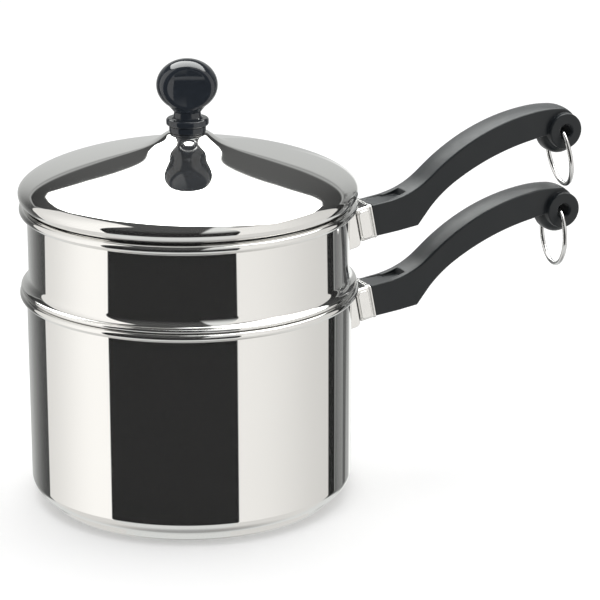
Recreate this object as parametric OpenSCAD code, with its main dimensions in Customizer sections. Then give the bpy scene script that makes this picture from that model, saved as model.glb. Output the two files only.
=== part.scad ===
// Double boiler: a saucepan, an insert pan that hangs in its mouth, and a domed lid.
// +Z is up, both handles point along +X, and the origin is the middle of the base's underside.

/* [Saucepan] */
// Outside diameter of the saucepan wall
pan_d = 158.8; // [140:0.2:180]
// Height of the middle of the saucepan's rolled rim above the table
pan_rim_z = 104.7; // [90:0.1:130]
// Outside radius of the saucepan's bottom corner
pan_corner_r = 7.2; // [5:0.1:12]
// Radius of the rolled rim's tube
pan_bead_r = 2.05; // [1.8:0.05:3]
// Thickness of the drawn steel sheet
sheet = 0.8; // [0.6:0.05:1]
// Thickness of the aluminium heat-spreading disc
core_h = 3.6; // [2:0.1:6]
// Thickness of the steel cap under the disc
cap_sheet = 0.7; // [0.5:0.05:1]
// Radius of the cap's bottom edge
cap_edge_r = 1.5; // [1.2:0.1:2]

/* [Insert pan] */
// Height of the insert's rim above the saucepan's rim
insert_rise = 42; // [36:0.5:60]
// How far the insert's wall stands in from the saucepan's wall
insert_step = 1.1; // [0.5:0.1:2.5]
// Radius of the insert's rolled rim
insert_bead_r = 2.3; // [1.8:0.05:3]
// Depth of the insert's cup below the saucepan's rim
cup_depth = 55; // [35:1:65]
// Outside radius of the cup's bottom corner
cup_corner_r = 10; // [6:0.5:20]
// Radial gap between the cup and the saucepan's inside
cup_gap = 1.8; // [1:0.1:4]
// How far the seating shoulder stands out from the insert's wall
shoulder_out = 3.7; // [3.2:0.1:5]
// Radius of the cove that runs from the shoulder up into the wall
cove_r = 5; // [4:0.1:8]

/* [Lid] */
// How far the lid's edge stands out from the insert's wall
lid_over = 4.1; // [3.5:0.1:6]
// Height of the lid's widest line above the insert's rim line
lid_rise = 7.8; // [6:0.1:12]
// Height of the dome above the lid's widest line
dome_h = 19.1; // [12:0.1:30]
// Power that shapes the dome's fall from the middle to the rim
dome_fall = 1.56; // [1.3:0.01:3]
// Height of the flare that rises to the knob
flare_h = 10.1; // [5:0.1:16]
// Distance over which the flare dies away
flare_run = 24.5; // [10:0.5:30]
// Depth of the plug that enters the insert
plug_h = 6; // [3:0.5:12]
// Radial gap round the plug
plug_gap = 0.6; // [0.4:0.1:1.5]

/* [Knob] */
// Width of the knob's ball
ball_w = 29.6; // [24:0.2:36]
// Height of the knob's ball
ball_h = 25.2; // [20:0.2:32]
// Distance between the ball's two finger faces
ball_flats = 18.2; // [14:0.2:22]
// Depth of the hollow in each finger face
face_hollow = 0.8; // [0.4:0.1:1.5]
// Radius of the knob's collar
collar_r = 10.3; // [9.5:0.1:14]
// Height of the collar
collar_h = 3.5; // [2.5:0.1:6]
// Height of the neck between the collar and the ball's lowest point
neck_h = 3.5; // [2:0.1:6]
// Radius of the neck at its narrowest
neck_r = 6.4; // [6:0.1:8]
// Radius of the spacer disc under the collar
spacer_r = 8.9; // [8:0.1:9.4]
// Height of the spacer disc
spacer_h = 3.5; // [2:0.1:6]
// Angle to which the knob is turned about the lid's axis
knob_turn = -20.5; // [-180:0.5:180]

/* [Handle] */
// Distance from the saucepan's wall to the handle's front face
handle_gap = 17.9; // [16:0.1:24]
// Depth of the handle's front face below the rim line
handle_drop = 18.6; // [17:0.1:21]
// Upward tilt of the handle's root
root_tilt = 11; // [6:0.5:16]
// Width of the handle at its root
root_w = 15; // [14:0.1:18]
// Height of the handle's front face
root_h = 16.4; // [15:0.1:18]
// Length of the flat underside, up to its corner
heel_len = 23.8; // [20:0.1:26]
// Extra width of the grip in its middle
grip_swell = 1.2; // [0:0.1:3]
// Radius of the grip's arched back
back_r = 112; // [100:1:130]
// Radius of the ball under the end of the grip
ball_r = 10.6; // [10:0.1:12]
// Radius of the boss that carries the ring
boss_r = 9.2; // [8:0.1:10]
// Width of the boss
boss_w = 20; // [19:0.1:22]
// Diameter of the cross hole for the ring
ring_hole_d = 6.7; // [6.4:0.1:8]
// Depth of the thumb scoop in the handle's root
scoop_depth = 1.7; // [1:0.1:2.2]

/* [Hanging ring] */
// Diameter of the ring's wire
wire_d = 2; // [1.8:0.1:2.4]
// Radius of the ring's centre line
ring_r = 16.2; // [15:0.1:18]
// Angle by which the ring hangs askew in its wide hole
ring_turn = 9; // [0:0.5:10]
// Width of the butt joint between the wire's ends
wire_joint = 0.3; // [0.2:0.1:0.6]

/* [Bracket] */
// Thickness of the bracket's plate
plate = 1.2; // [0.8:0.1:1.5]
// Width over the bracket's cheeks
bracket_w = 14.8; // [13:0.1:15.4]
// Length of the ferrule between the bracket and the handle
ferrule_len = 8.6; // [7:0.1:11]
// How far the cheeks reach below the handle's underside
cheek_drop = 2.4; // [1:0.1:4]
// Thickness of the tongue that enters the handle
tongue_t = 2.4; // [2:0.1:3]
// Width of the tongue
tongue_w = 9; // [8:0.1:10]
// Distance from the handle's front face to the handle screw
screw_reach = 12; // [10:0.1:14]

/* [Hidden] */

STEEL = "gainsboro";
ALUMINIUM = "silver";
PHENOLIC = "dimgray";
BRASS = "goldenrod";

fine = 64;
rest_gap = 0.3;    // between curved pieces that rest on each other
slip = 0.1;        // round a piece that slides into a pocket
press = 0.02;      // round a piece that is moulded in or threaded
curl_end = -118;   // direction in which a rolled rim's edge points
lip_r = 1;         // radius of the insert's seating lip
inner_r = 1;       // radius between the insert's cup and its seat
lid_edge_r = 1.2;  // radius under the lid's edge
lid_edge_in = 1.9; // from the lid's edge to the middle of its turn

pan_r = pan_d / 2;
base_h = core_h + cap_sheet;
base_r = pan_r - pan_corner_r - 0.2;
insert_r = pan_r - insert_step;
lid_r = insert_r + lid_over;
insert_rim_z = pan_rim_z + insert_rise;
cup_r = pan_r - sheet - cup_gap;
seat_z = pan_rim_z + pan_bead_r + rest_gap;
cup_z = pan_rim_z - cup_depth;
lid_seat_z = insert_rim_z + insert_bead_r + rest_gap;
lid_wide_z = insert_rim_z + lid_rise;
plug_r = insert_r - sheet - plug_gap;
knob_seat_r = spacer_r + 0.6;
front_x = pan_r + handle_gap;
pan_handle_z = pan_rim_z - handle_drop;
insert_handle_z = insert_rim_z - handle_drop;

// Profiles of sheet metal: a path of points and its parallel copy, turned about the axis

function unit(v) = v / norm(v);
function left(v) = [-v.y, v.x];
function arc(c, r, from, to, steps) =
  [for (i = [0:steps]) let (a = from + (to - from) * i / steps) c + r * [cos(a), sin(a)]];
function edge_normal(p, i) = left(unit(p[min(i + 1, len(p) - 1)] - p[min(i, len(p) - 2)]));
function miter(a, b) = (a + b) / (1 + a * b);
function parallel(p, t) =
  [for (i = [0:len(p) - 1]) p[i] + t * miter(edge_normal(p, max(i - 1, 0)), edge_normal(p, i))];
function reversed(p) = [for (i = [len(p) - 1:-1:0]) p[i]];
function sheet_outline(p, t) = concat(p, reversed(parallel(p, t)));

// The sheet runs up the wall and rolls outwards over its rim, seen along its outer face
function curl(wall_r, z, bead_r) =
  arc([wall_r - sheet + bead_r, z], bead_r - sheet, 180, curl_end, 12);

function pan_path() = concat(
  [[0, base_h]],
  arc([pan_r - pan_corner_r, base_h + pan_corner_r], pan_corner_r, -90, 0, 10),
  curl(pan_r, pan_rim_z, pan_bead_r)
);

function insert_path() =
  let (
    meet = acos(1 - shoulder_out / (lip_r + cove_r)),
    lip_c = [insert_r + shoulder_out - lip_r, seat_z + lip_r],
    cove_c = lip_c + (lip_r + cove_r) * [cos(meet), sin(meet)]
  )
  concat(
    [[0, cup_z]],
    arc([cup_r - cup_corner_r, cup_z + cup_corner_r], cup_corner_r, -90, 0, 7),
    arc([cup_r + inner_r, seat_z - inner_r], inner_r, 180, 90, 3),
    arc(lip_c, lip_r, -90, meet, 5),
    arc(cove_c, cove_r, 180 + meet, 180, 6),
    curl(insert_r, insert_rim_z, insert_bead_r)
  );

// Height of the lid's outside: a rounded dome with a flare that climbs to the knob
function lid_z(r) =
  lid_wide_z
  + dome_h * sqrt(max(0, 1 - pow(r / lid_r, dome_fall)))
  + flare_h * (exp(-(r - knob_seat_r) / flare_run) - exp(-(lid_r - knob_seat_r) / flare_run));
function lid_top() = lid_z(knob_seat_r);
function lid_path() =
  let (
    steps = 40,
    turn_x = lid_r - lid_edge_in,
    turn_z = lid_seat_z + lid_edge_r,
    dome = [
      for (i = [0:steps])
        let (r = lid_r - (lid_r - knob_seat_r) * pow(1 - i / steps, 1.9)) [r, lid_z(r)]
    ],
    skirt = [
      for (i = [1:6])
        let (a = 80 * i / 6) [
          turn_x - lid_edge_r * 0.3 + (lid_r - turn_x + lid_edge_r * 0.3) * cos(a),
          lid_wide_z - (lid_wide_z - turn_z) * sin(a) / sin(80)
        ]
    ]
  )
  concat(
    [[0, lid_top()]],
    dome,
    skirt,
    [[turn_x - lid_edge_r, lid_seat_z]],
    arc([plug_r + lip_r, lid_seat_z - lip_r], lip_r, 90, 180, 4),
    [[plug_r, lid_seat_z - plug_h]]
  );

module turned_sheet(path, t) {
  rotate_extrude($fn = fine) polygon(sheet_outline(path, t));
}

// Saucepan

module pan_body() {
  color(STEEL) turned_sheet(pan_path(), sheet);
}

module base_core() {
  color(ALUMINIUM)
    translate([0, 0, cap_sheet]) cylinder(r = base_r - cap_sheet, h = core_h, $fn = fine);
}

module base_cap() {
  path = concat(
    [[0, 0]],
    arc([base_r - cap_edge_r, cap_edge_r], cap_edge_r, -90, 0, 5),
    [[base_r, base_h]]
  );
  color(STEEL)
    difference() {
      turned_sheet(path, cap_sheet);
      translate([0, 0, cap_sheet]) cylinder(r = base_r - cap_sheet, h = base_h, $fn = fine);
    }
}

// Insert pan

module insert_body() {
  color(STEEL) turned_sheet(insert_path(), sheet);
}

// Lid and knob

knob_screw_d = 5;
knob_nut_r = 4.5;
knob_nut_h = 9;
knob_washer_r = 7;
knob_washer_t = 1;
spacer_z = lid_top();
collar_z = spacer_z + spacer_h;
ball_z = collar_z + collar_h + neck_h + ball_h / 2;

module lid_shell() {
  color(STEEL)
    difference() {
      turned_sheet(lid_path(), -sheet);
      translate([0, 0, lid_top() - 2 * sheet])
        cylinder(d = knob_screw_d + 0.4, h = 4 * sheet, $fn = fine);
    }
}

module knob_spacer() {
  round_r = 0.8;
  path = concat(
    [[0, 0]],
    arc([spacer_r - round_r, round_r], round_r, -90, 0, 4),
    arc([spacer_r - round_r, spacer_h - round_r], round_r, 0, 90, 4),
    [[0, spacer_h]]
  );
  color(PHENOLIC)
    translate([0, 0, spacer_z])
      difference() {
        rotate_extrude($fn = fine) polygon(path);
        translate([0, 0, -1]) cylinder(d = knob_screw_d + 0.4, h = spacer_h + 2, $fn = fine);
      }
}

// Turned outline of the knob: collar, waisted neck and oval ball
function knob_path() =
  let (
    round_r = 1.1,
    waist_z = collar_h + neck_h * 0.85,
    ball_mid = ball_z - collar_z,
    start = -52
  )
  concat(
    [[0, 0]],
    arc([collar_r - round_r, round_r], round_r, -90, 0, 4),
    arc([collar_r - round_r, collar_h - round_r], round_r, 0, 90, 4),
    [[neck_r + 1.2, collar_h], [neck_r + 0.4, collar_h + 0.7], [neck_r, waist_z]],
    [
      for (i = [0:24])
        let (a = start + (90 - start) * i / 24)
          [ball_w / 2 * cos(a), ball_mid + ball_h / 2 * sin(a)]
    ]
  );

module lid_knob() {
  hollow_r = 70;
  color(PHENOLIC)
    translate([0, 0, collar_z])
      rotate([0, 0, knob_turn])
        difference() {
          intersection() {
            rotate_extrude($fn = fine) polygon(knob_path());
            translate([-ball_w, -ball_flats / 2, -1]) cube([2 * ball_w, ball_flats, 3 * ball_h]);
          }
          for (side = [-1, 1])
            translate([0, side * (ball_flats / 2 + hollow_r - face_hollow), ball_z - collar_z])
              sphere(r = hollow_r, $fn = fine);
          translate([0, 0, -1])
            cylinder(r = knob_nut_r + press, h = knob_nut_h + 1.5, $fn = fine);
        }
}

module knob_nut() {
  color(BRASS)
    translate([0, 0, collar_z])
      difference() {
        cylinder(r = knob_nut_r, h = knob_nut_h, $fn = fine);
        translate([0, 0, -1])
          cylinder(d = knob_screw_d + 2 * press, h = knob_nut_h + 2, $fn = fine);
      }
}

module knob_screw() {
  head_h = 2.6;
  head_z = lid_top() - sheet - knob_washer_t;
  color(STEEL)
    difference() {
      union() {
        translate([0, 0, head_z - head_h]) pan_head(4.6, head_h);
        translate([0, 0, head_z - 0.5])
          cylinder(d = knob_screw_d, h = collar_z + knob_nut_h - 1 - head_z + 0.5, $fn = fine);
      }
      translate([-5, -0.6, head_z - head_h - 1]) cube([10, 1.2, 2.2]);
    }
}

module knob_washer() {
  color(STEEL)
    translate([0, 0, lid_top() - sheet - knob_washer_t])
      difference() {
        cylinder(r = knob_washer_r, h = knob_washer_t, $fn = fine);
        translate([0, 0, -1])
          cylinder(d = knob_screw_d + 0.4, h = knob_washer_t + 2, $fn = fine);
      }
}

// A screw head with its rounded side down
module pan_head(r, h) {
  round_r = h * 0.6;
  rotate_extrude($fn = fine)
    polygon(concat([[0, 0]], arc([r - round_r, round_r], round_r, -90, 0, 5), [[r, h], [0, h]]));
}

// Handle
// Its frame starts at the middle of the front face: x runs along the sloping root.

root_up = [-sin(root_tilt), cos(root_tilt)];
top_start = root_h / 2 * root_up;
heel_start = -root_h / 2 * root_up;

neck_angle = 39.5;    // steepest slope of the handle's back
front_angle = 7;      // slope of the back over the root
front_run = 9.6;      // straight start of the back
hollow_r = 42;        // radius of the hollow between root and grip
neck_run = 6;         // straight length between hollow and arch
heel_angle = 50;      // slope of the underside behind its corner
heel_rise = 9.4;
belly_r = 62;
belly_angle = 31;
under_r = back_r + 14;
under_end = 11;
tail_run = 12;        // straight end of the underside, inside the ball
crest_r = 65;         // tighter radius at the top of the arch
crest_angle = 6;      // slope at which it starts, and at which it ends downwards
wrap_r = 11.2;        // radius with which the back wraps round the boss
wrap_angle = 80;      // downward slope at which it ends
boss_offset = [1.5, -12.2];   // from the end of the crest to the cross hole
ball_drop = 2.2;      // how far the ball's middle lies below the cross hole

function along(p, angle, run) = p + run * [cos(angle), sin(angle)];
// A turn that starts at p with slope a0 and ends with slope a1, hollow or arched
function bend(p, r, a0, a1, steps) =
  let (side = a1 > a0 ? 1 : -1, c = p + side * r * [-sin(a0), cos(a0)])
    [
      for (i = [1:steps])
        let (a = a0 + (a1 - a0) * i / steps) c - side * r * [-sin(a), cos(a)]
    ];
function last(p) = p[len(p) - 1];

back_front = along(top_start, front_angle, front_run);
back_hollow = bend(back_front, hollow_r, front_angle, neck_angle, 8);
back_neck = along(last(back_hollow), neck_angle, neck_run);
back_arch = bend(back_neck, back_r, neck_angle, crest_angle, 13);
back_crest = bend(last(back_arch), crest_r, crest_angle, -crest_angle, 5);
back_wrap = bend(last(back_crest), wrap_r, -crest_angle, -wrap_angle, 6);
heel = along(heel_start, root_tilt - 5, heel_len);
heel_top = along(heel, heel_angle, heel_rise);
belly = bend(heel_top, belly_r, heel_angle, belly_angle, 5);
under = bend(last(belly), under_r, belly_angle, under_end, 12);
tail = along(last(under), under_end, tail_run);
tail_in = 1;          // how much narrower the grip is at its end than at its root
hole_c = last(back_crest) + boss_offset;

// Back and underside are walked side by side: each leg joins stretches of the two lists of
// points, as [stations, last point on the back, last point on the underside]
function walk(p, s) =
  let (i = min(floor(s), len(p) - 2)) p[i] + (s - i) * (p[i + 1] - p[i]);
back = concat(
  [top_start, back_front], back_hollow, [back_neck], back_arch, back_crest, back_wrap
);
underside = concat([heel_start, heel, heel_top], belly, under, [tail]);
legs = [
  [6, 5, 1], [6, 10, 6.1], [3, 13.3, 9.6], [4, 17.6, 14.7],
  [5, 23, 19.65], [4, len(back) - 7, 19.9], [6, len(back) - 1, len(underside) - 1]
];
pairs = concat(
  [[top_start, heel_start]],
  [
    for (k = [0:len(legs) - 1])
      let (from = k == 0 ? [0, 0, 0] : legs[k - 1], to = legs[k])
        for (i = [1:to[0]])
          [for (side = [[back, 1], [underside, 2]])
            walk(side[0], from[side[1]] + (to[side[1]] - from[side[1]]) * i / to[0])]
  ]
);

// Rounded section: width w, height h, corner radii rt above and rb below
function section(w, h, rt, rb, crown) =
  let (
    c = [
      [w / 2 - rb, rb, rb, -90], [w / 2 - rt, h - rt, rt, 0],
      [rt - w / 2, h - rt, rt, 90], [rb - w / 2, rb, rb, 180]
    ],
    ring = [
      for (k = [0:3]) each concat(
        arc([c[k][0], c[k][1]], c[k][2], c[k][3], c[k][3] + 90, 4),
        k == 1 ? [[c[1][0] / 3, h], [-c[1][0] / 3, h]] : []
      )
    ]
  )
  [for (q = ring) [q.x, q.y > h / 2 ? q.y + crown * (1 - pow(2 * q.x / w, 2)) : q.y]];

edge_r = 1.2;           // radius of the handle's long edges at the root

function ring_at(i) =
  let (
    f = i / (len(pairs) - 1),
    pq = pairs[i],
    v = pq[0] - pq[1],
    h = norm(v),
    e = v / h,
    grip = min(1, max(0, (i - 2) / 6)),
    w = root_w + grip_swell * sin(180 * f) - tail_in * pow(f, 6),
    top_r = edge_r + 2.8 * sin(180 * f),
    profile = section(w, h, top_r, edge_r + 3 * grip, 0.7 * grip * (1 - pow(f, 4)))
  )
  [for (q = profile) [pq[1].x + e.x * q.y, q.x, pq[1].y + e.y * q.y]];

module loft(rings) {
  n = len(rings[0]);
  m = len(rings);
  middle = [
    for (r = [rings[0], last(rings)])
      [for (axis = [0:2]) [for (q = r) 1] * [for (q = r) q[axis]] / n]
  ];
  sides = [
    for (i = [0:m - 2], j = [0:n - 1])
      let (a = i * n + j, b = i * n + (j + 1) % n)
        each [[a, a + n, b], [b, a + n, b + n]]
  ];
  ends = [
    for (j = [0:n - 1])
      let (k = (j + 1) % n) each [[m * n, j, k], [m * n + 1, (m - 1) * n + k, (m - 1) * n + j]]
  ];
  polyhedron(concat([for (r = rings) each r], middle), concat(sides, ends));
}

// Barrel round the Y axis: a plain band of half width band, rounded over towards both sides
module barrel(r, band, edge) {
  side = concat(arc([r - edge, band], edge, 0, 90, 10), [[0, band + edge]]);
  rotate([-90, 0, 0])
    rotate_extrude($fn = fine)
      polygon(concat([for (q = reversed(side)) [q.x, -q.y]], side));
}

ball_band = 1.5;
ball_edge = 6;
boss_edge = 0.6;

ring_mouth = 0.7;       // bevel at each end of the cross hole
head_r = 3.8;
head_h = 2.4;
handle_screw_d = 4;
washer_r = 4.4;
washer_t = 0.8;
pocket_z = -tongue_t / 2 - 2.6;   // the pocket's floor, below the tongue
scoop_r = 30;
scoop_w = root_w - 4.4;
scoop_x = front_run * 0.9;

module handle() {
  color(PHENOLIC)
    difference() {
      union() {
        loft([for (i = [0:len(pairs) - 1]) ring_at(i)]);
        translate([hole_c.x, 0, hole_c.y]) {
          barrel(boss_r, boss_w / 2 - boss_edge, boss_edge);
          translate([0, 0, -ball_drop]) barrel(ball_r, ball_band, ball_edge);
        }
      }
      translate([hole_c.x, 0, hole_c.y]) ring_hole();
      rotate([0, -root_tilt, 0]) {
        translate([-1, -tongue_w / 2 - slip, -tongue_t / 2 - slip])
          cube([tongue_len() + 1 + slip, tongue_w + 2 * slip, tongue_t + 2 * slip]);
        translate([screw_reach, 0, -root_h]) {
          cylinder(d = handle_screw_d + 0.4, h = root_h + tongue_t + 2, $fn = fine);
          cylinder(r = washer_r + 0.3, h = root_h + pocket_z, $fn = fine);
        }
      }
      translate([scoop_x, scoop_w / 2, top_start.y + scoop_r - scoop_depth + 0.6])
        rotate([90, 0, 0]) cylinder(r = scoop_r, h = scoop_w, $fn = 96);
    }
}

module ring_hole() {
  rotate([90, 0, 0]) {
    cylinder(d = ring_hole_d, h = boss_w + 2, center = true, $fn = fine);
    for (side = [0, 1])
      mirror([0, 0, side])
        translate([0, 0, boss_w / 2 - ring_mouth])
          cylinder(d1 = ring_hole_d, d2 = ring_hole_d + 4 * ring_mouth, h = 2 * ring_mouth, $fn = fine);
  }
}

function tongue_len() = screw_reach + 6;

module handle_screw() {
  color(STEEL)
    rotate([0, -root_tilt, 0])
      translate([screw_reach, 0, pocket_z - washer_t])
        difference() {
          union() {
            translate([0, 0, -head_h]) pan_head(head_r, head_h);
            translate([0, 0, -0.5])
              cylinder(
                d = handle_screw_d, h = 0.5 + washer_t - pocket_z + tongue_t / 2 + 1, $fn = fine
              );
          }
          translate([-5, -0.5, -head_h - 1]) cube([10, 1, 2]);
        }
}

module handle_washer() {
  color(STEEL)
    rotate([0, -root_tilt, 0])
      translate([screw_reach, 0, pocket_z - washer_t])
        difference() {
          cylinder(r = washer_r, h = washer_t, $fn = fine);
          translate([0, 0, -1])
            cylinder(d = handle_screw_d + 0.3, h = washer_t + 2, $fn = fine);
        }
}

// Rounded plate: a rectangle with round corners, centred
module rounded_plate(w, h, r, t) {
  linear_extrude(height = t) {
    square([w - 2 * r, h], center = true);
    square([w, h - 2 * r], center = true);
    for (x = [-1, 1], y = [-1, 1])
      translate([x * (w / 2 - r), y * (h / 2 - r)]) circle(r = r, $fn = 32);
  }
}

ferrule_t = 0.9;
ferrule_w = root_w + 1;
ferrule_h = root_h + 0.8;
lip_t = 1.3;
panel_proud = 0.5;

module ferrule() {
  color(STEEL)
    rotate([0, -root_tilt, 0])
      difference() {
        union() {
          translate([-ferrule_len, 0, 0])
            rotate([90, 0, 90]) rounded_plate(ferrule_w, ferrule_h, 2.4, ferrule_len - lip_t / 2);
          translate([-lip_t, 0, 0])
            rotate([90, 0, 90]) rounded_plate(ferrule_w + 0.7, ferrule_h + 0.7, 2.6, lip_t);
          for (side = [-1, 1])
            translate([-ferrule_len / 2 - 0.5, side * (ferrule_w / 2 + panel_proud), 0])
              rotate([90, 0, 0])
                translate([0, 0, side > 0 ? 0 : -2 * panel_proud])
                  rounded_plate(ferrule_len - 3.4, ferrule_h - 4.4, 1.3, 2 * panel_proud);
        }
        translate([-ferrule_len - 1, 0, 0])
          rotate([90, 0, 90])
            rounded_plate(
              ferrule_w - 2 * ferrule_t, ferrule_h - 2 * ferrule_t, 1.5, ferrule_len + 1 - ferrule_t
            );
        translate([-ferrule_len, -tongue_w / 2 - slip, -tongue_t / 2 - slip])
          cube([ferrule_len + 1, tongue_w + 2 * slip, tongue_t + 2 * slip]);
      }
}

// Folded bracket: a channel of two cheeks under a web, a pad on the wall and the tongue
cheek_r = 2.5;
pad_drop = 8;           // how far the welded pad reaches below the root's axis
pad_h = 13;
root_in = 8;            // how far the folds run into the wall before they are trimmed

module bracket(wall_r) {
  reach = front_x - wall_r + root_in;
  low = -root_h / 2 - cheek_drop;
  high = root_h / 2;
  nose = -ferrule_len;
  color(STEEL)
    difference() {
      union() {
        rotate([0, -root_tilt, 0]) {
          for (side = [-1, 1])
            translate([0, side * (bracket_w - plate) / 2 + plate / 2, 0])
              rotate([90, 0, 0])
                linear_extrude(height = plate) {
                  translate([-reach, low + cheek_r]) square([reach + nose, high - low - cheek_r]);
                  translate([-reach, low]) square([reach + nose - cheek_r, high - low]);
                  translate([nose - cheek_r, low + cheek_r]) circle(r = cheek_r, $fn = 32);
                }
          translate([-reach, -bracket_w / 2, high - plate])
            cube([reach + nose, bracket_w, plate]);
          translate([-reach, -tongue_w / 2, -tongue_t / 2])
            cube([reach + tongue_len(), tongue_w, tongue_t]);
        }
        intersection() {
          translate([-front_x, 0, -pad_drop]) cylinder(r = wall_r + plate, h = pad_h, $fn = fine);
          translate([-reach, -bracket_w / 2 + plate / 2, -pad_drop])
            cube([reach, bracket_w - plate, pad_h]);
        }
      }
      translate([-front_x, 0, -2 * root_h]) cylinder(r = wall_r, h = 4 * root_h, $fn = 128);
      rotate([0, -root_tilt, 0])
        translate([screw_reach, 0, -tongue_t])
          cylinder(d = handle_screw_d + 2 * press, h = 2 * tongue_t, $fn = fine);
    }
}

module at_handle(level) {
  translate([front_x, 0, level]) children();
}

module pan_bracket() {
  at_handle(pan_handle_z) bracket(pan_r);
}

module pan_ferrule() {
  at_handle(pan_handle_z) ferrule();
}

module pan_handle() {
  at_handle(pan_handle_z) handle();
}

module pan_handle_screw() {
  at_handle(pan_handle_z) handle_screw();
}

module pan_handle_washer() {
  at_handle(pan_handle_z) handle_washer();
}

module insert_bracket() {
  at_handle(insert_handle_z) bracket(insert_r);
}

module insert_ferrule() {
  at_handle(insert_handle_z) ferrule();
}

module insert_handle() {
  at_handle(insert_handle_z) handle();
}

module insert_handle_screw() {
  at_handle(insert_handle_z) handle_screw();
}

module insert_handle_washer() {
  at_handle(insert_handle_z) handle_washer();
}

// Hanging rings
// Each ring is a closed wire through the cross hole, so its crown sits just above the hole's axis.

ring_crown = 2;
ring_drop = ring_r - ring_crown;
ring_reach = ring_drop + ring_r;

// The upper ring leans on the lower handle's rounded end, where it is long enough to reach it
lean_r = 11.2;          // distance from the cross hole to the place it leans on
skew_share = 0.3;       // part of the skew that brings the wire nearer
ring_seat = lean_r + wire_d / 2 + rest_gap + skew_share * root_w / 4 * sin(ring_turn);
lean_cos =
  (insert_rise * insert_rise + ring_reach * ring_reach - ring_seat * ring_seat)
  / (2 * insert_rise * ring_reach);
ring_lean = lean_cos < 1 ? acos(lean_cos) : 0;

module hanging_ring(lean) {
  gap_angle = wire_joint / ring_r * 180 / PI;
  joint_at = 315;
  color(STEEL)
    translate([hole_c.x, 0, hole_c.y])
      rotate([0, -lean, 0])
        rotate([0, 0, -ring_turn])
          translate([0, 0, -ring_drop])
            rotate([90, 0, 90])
              rotate([0, 0, joint_at])
                rotate_extrude(angle = 360 - gap_angle, $fn = 96)
                  translate([ring_r, 0]) circle(d = wire_d, $fn = 24);
}

module pan_ring() {
  at_handle(pan_handle_z) hanging_ring(0);
}

module insert_ring() {
  at_handle(insert_handle_z) hanging_ring(ring_lean);
}

pan_body();
base_core();
base_cap();
pan_bracket();
pan_ferrule();
pan_handle();
pan_handle_screw();
pan_handle_washer();
pan_ring();
insert_body();
insert_bracket();
insert_ferrule();
insert_handle();
insert_handle_screw();
insert_handle_washer();
insert_ring();
lid_shell();
knob_spacer();
lid_knob();
knob_nut();
knob_screw();
knob_washer();
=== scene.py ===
"""Looks of a double boiler: polished steel, black phenolic handles and knob, wire rings.

Lengths are worked out in millimetres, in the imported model's own frame, and turned into metres
where a mesh is made. Each sub-assembly is a class: its fields are its sizes, and its methods
make its surfaces.
"""

from __future__ import annotations

import logging
import math
from dataclasses import dataclass, field
from enum import Enum
from functools import cache
from typing import Callable, Optional, Sequence

import bpy
import numpy as np
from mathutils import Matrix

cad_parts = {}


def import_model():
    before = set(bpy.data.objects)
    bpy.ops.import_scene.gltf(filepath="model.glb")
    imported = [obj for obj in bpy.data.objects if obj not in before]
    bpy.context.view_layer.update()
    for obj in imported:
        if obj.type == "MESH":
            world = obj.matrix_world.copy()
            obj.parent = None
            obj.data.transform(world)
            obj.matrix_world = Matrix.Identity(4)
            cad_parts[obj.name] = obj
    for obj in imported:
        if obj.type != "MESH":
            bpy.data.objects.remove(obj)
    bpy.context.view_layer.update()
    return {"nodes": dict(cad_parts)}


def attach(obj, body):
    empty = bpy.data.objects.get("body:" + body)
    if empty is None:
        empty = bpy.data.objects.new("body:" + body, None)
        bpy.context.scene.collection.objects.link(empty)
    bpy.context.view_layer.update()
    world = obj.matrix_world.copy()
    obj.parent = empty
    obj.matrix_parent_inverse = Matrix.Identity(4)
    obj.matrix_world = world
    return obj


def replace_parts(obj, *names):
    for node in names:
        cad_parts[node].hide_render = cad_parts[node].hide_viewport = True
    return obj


LOG = logging.getLogger("double_boiler")
MM = 0.001
AROUND = 256        # steps of a turned surface about its axis
WIRE_AROUND = 24    # points round a wire
WIRE_ALONG = 192    # steps along a ring
BLOCK = 4000        # points whose distance to an outline is worked out at once
CAMERA_TURN = 25.5  # degrees from the handles' square view to the photographed one

# Radii of broken edges and of small fillets, in millimetres
HAIR = 0.1
CRISP = 0.2
SOFT = 0.3
EASED = 0.4
FULL = 0.5

Field = Callable[[np.ndarray, np.ndarray, np.ndarray], np.ndarray]
Polygon = tuple[tuple[float, float], ...]
Fade = tuple[float, float, float, float]


# Finishes


class Grain(Enum):
    """Small-scale structure that a finish shows."""

    SPUN = "rings left by polishing a turned sheet"
    PRESSED = "even polish on a pressed part"
    MOULDED = "faint ripple of a moulded skin"
    DRAWN = "fine ripple of drawn wire"


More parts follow.
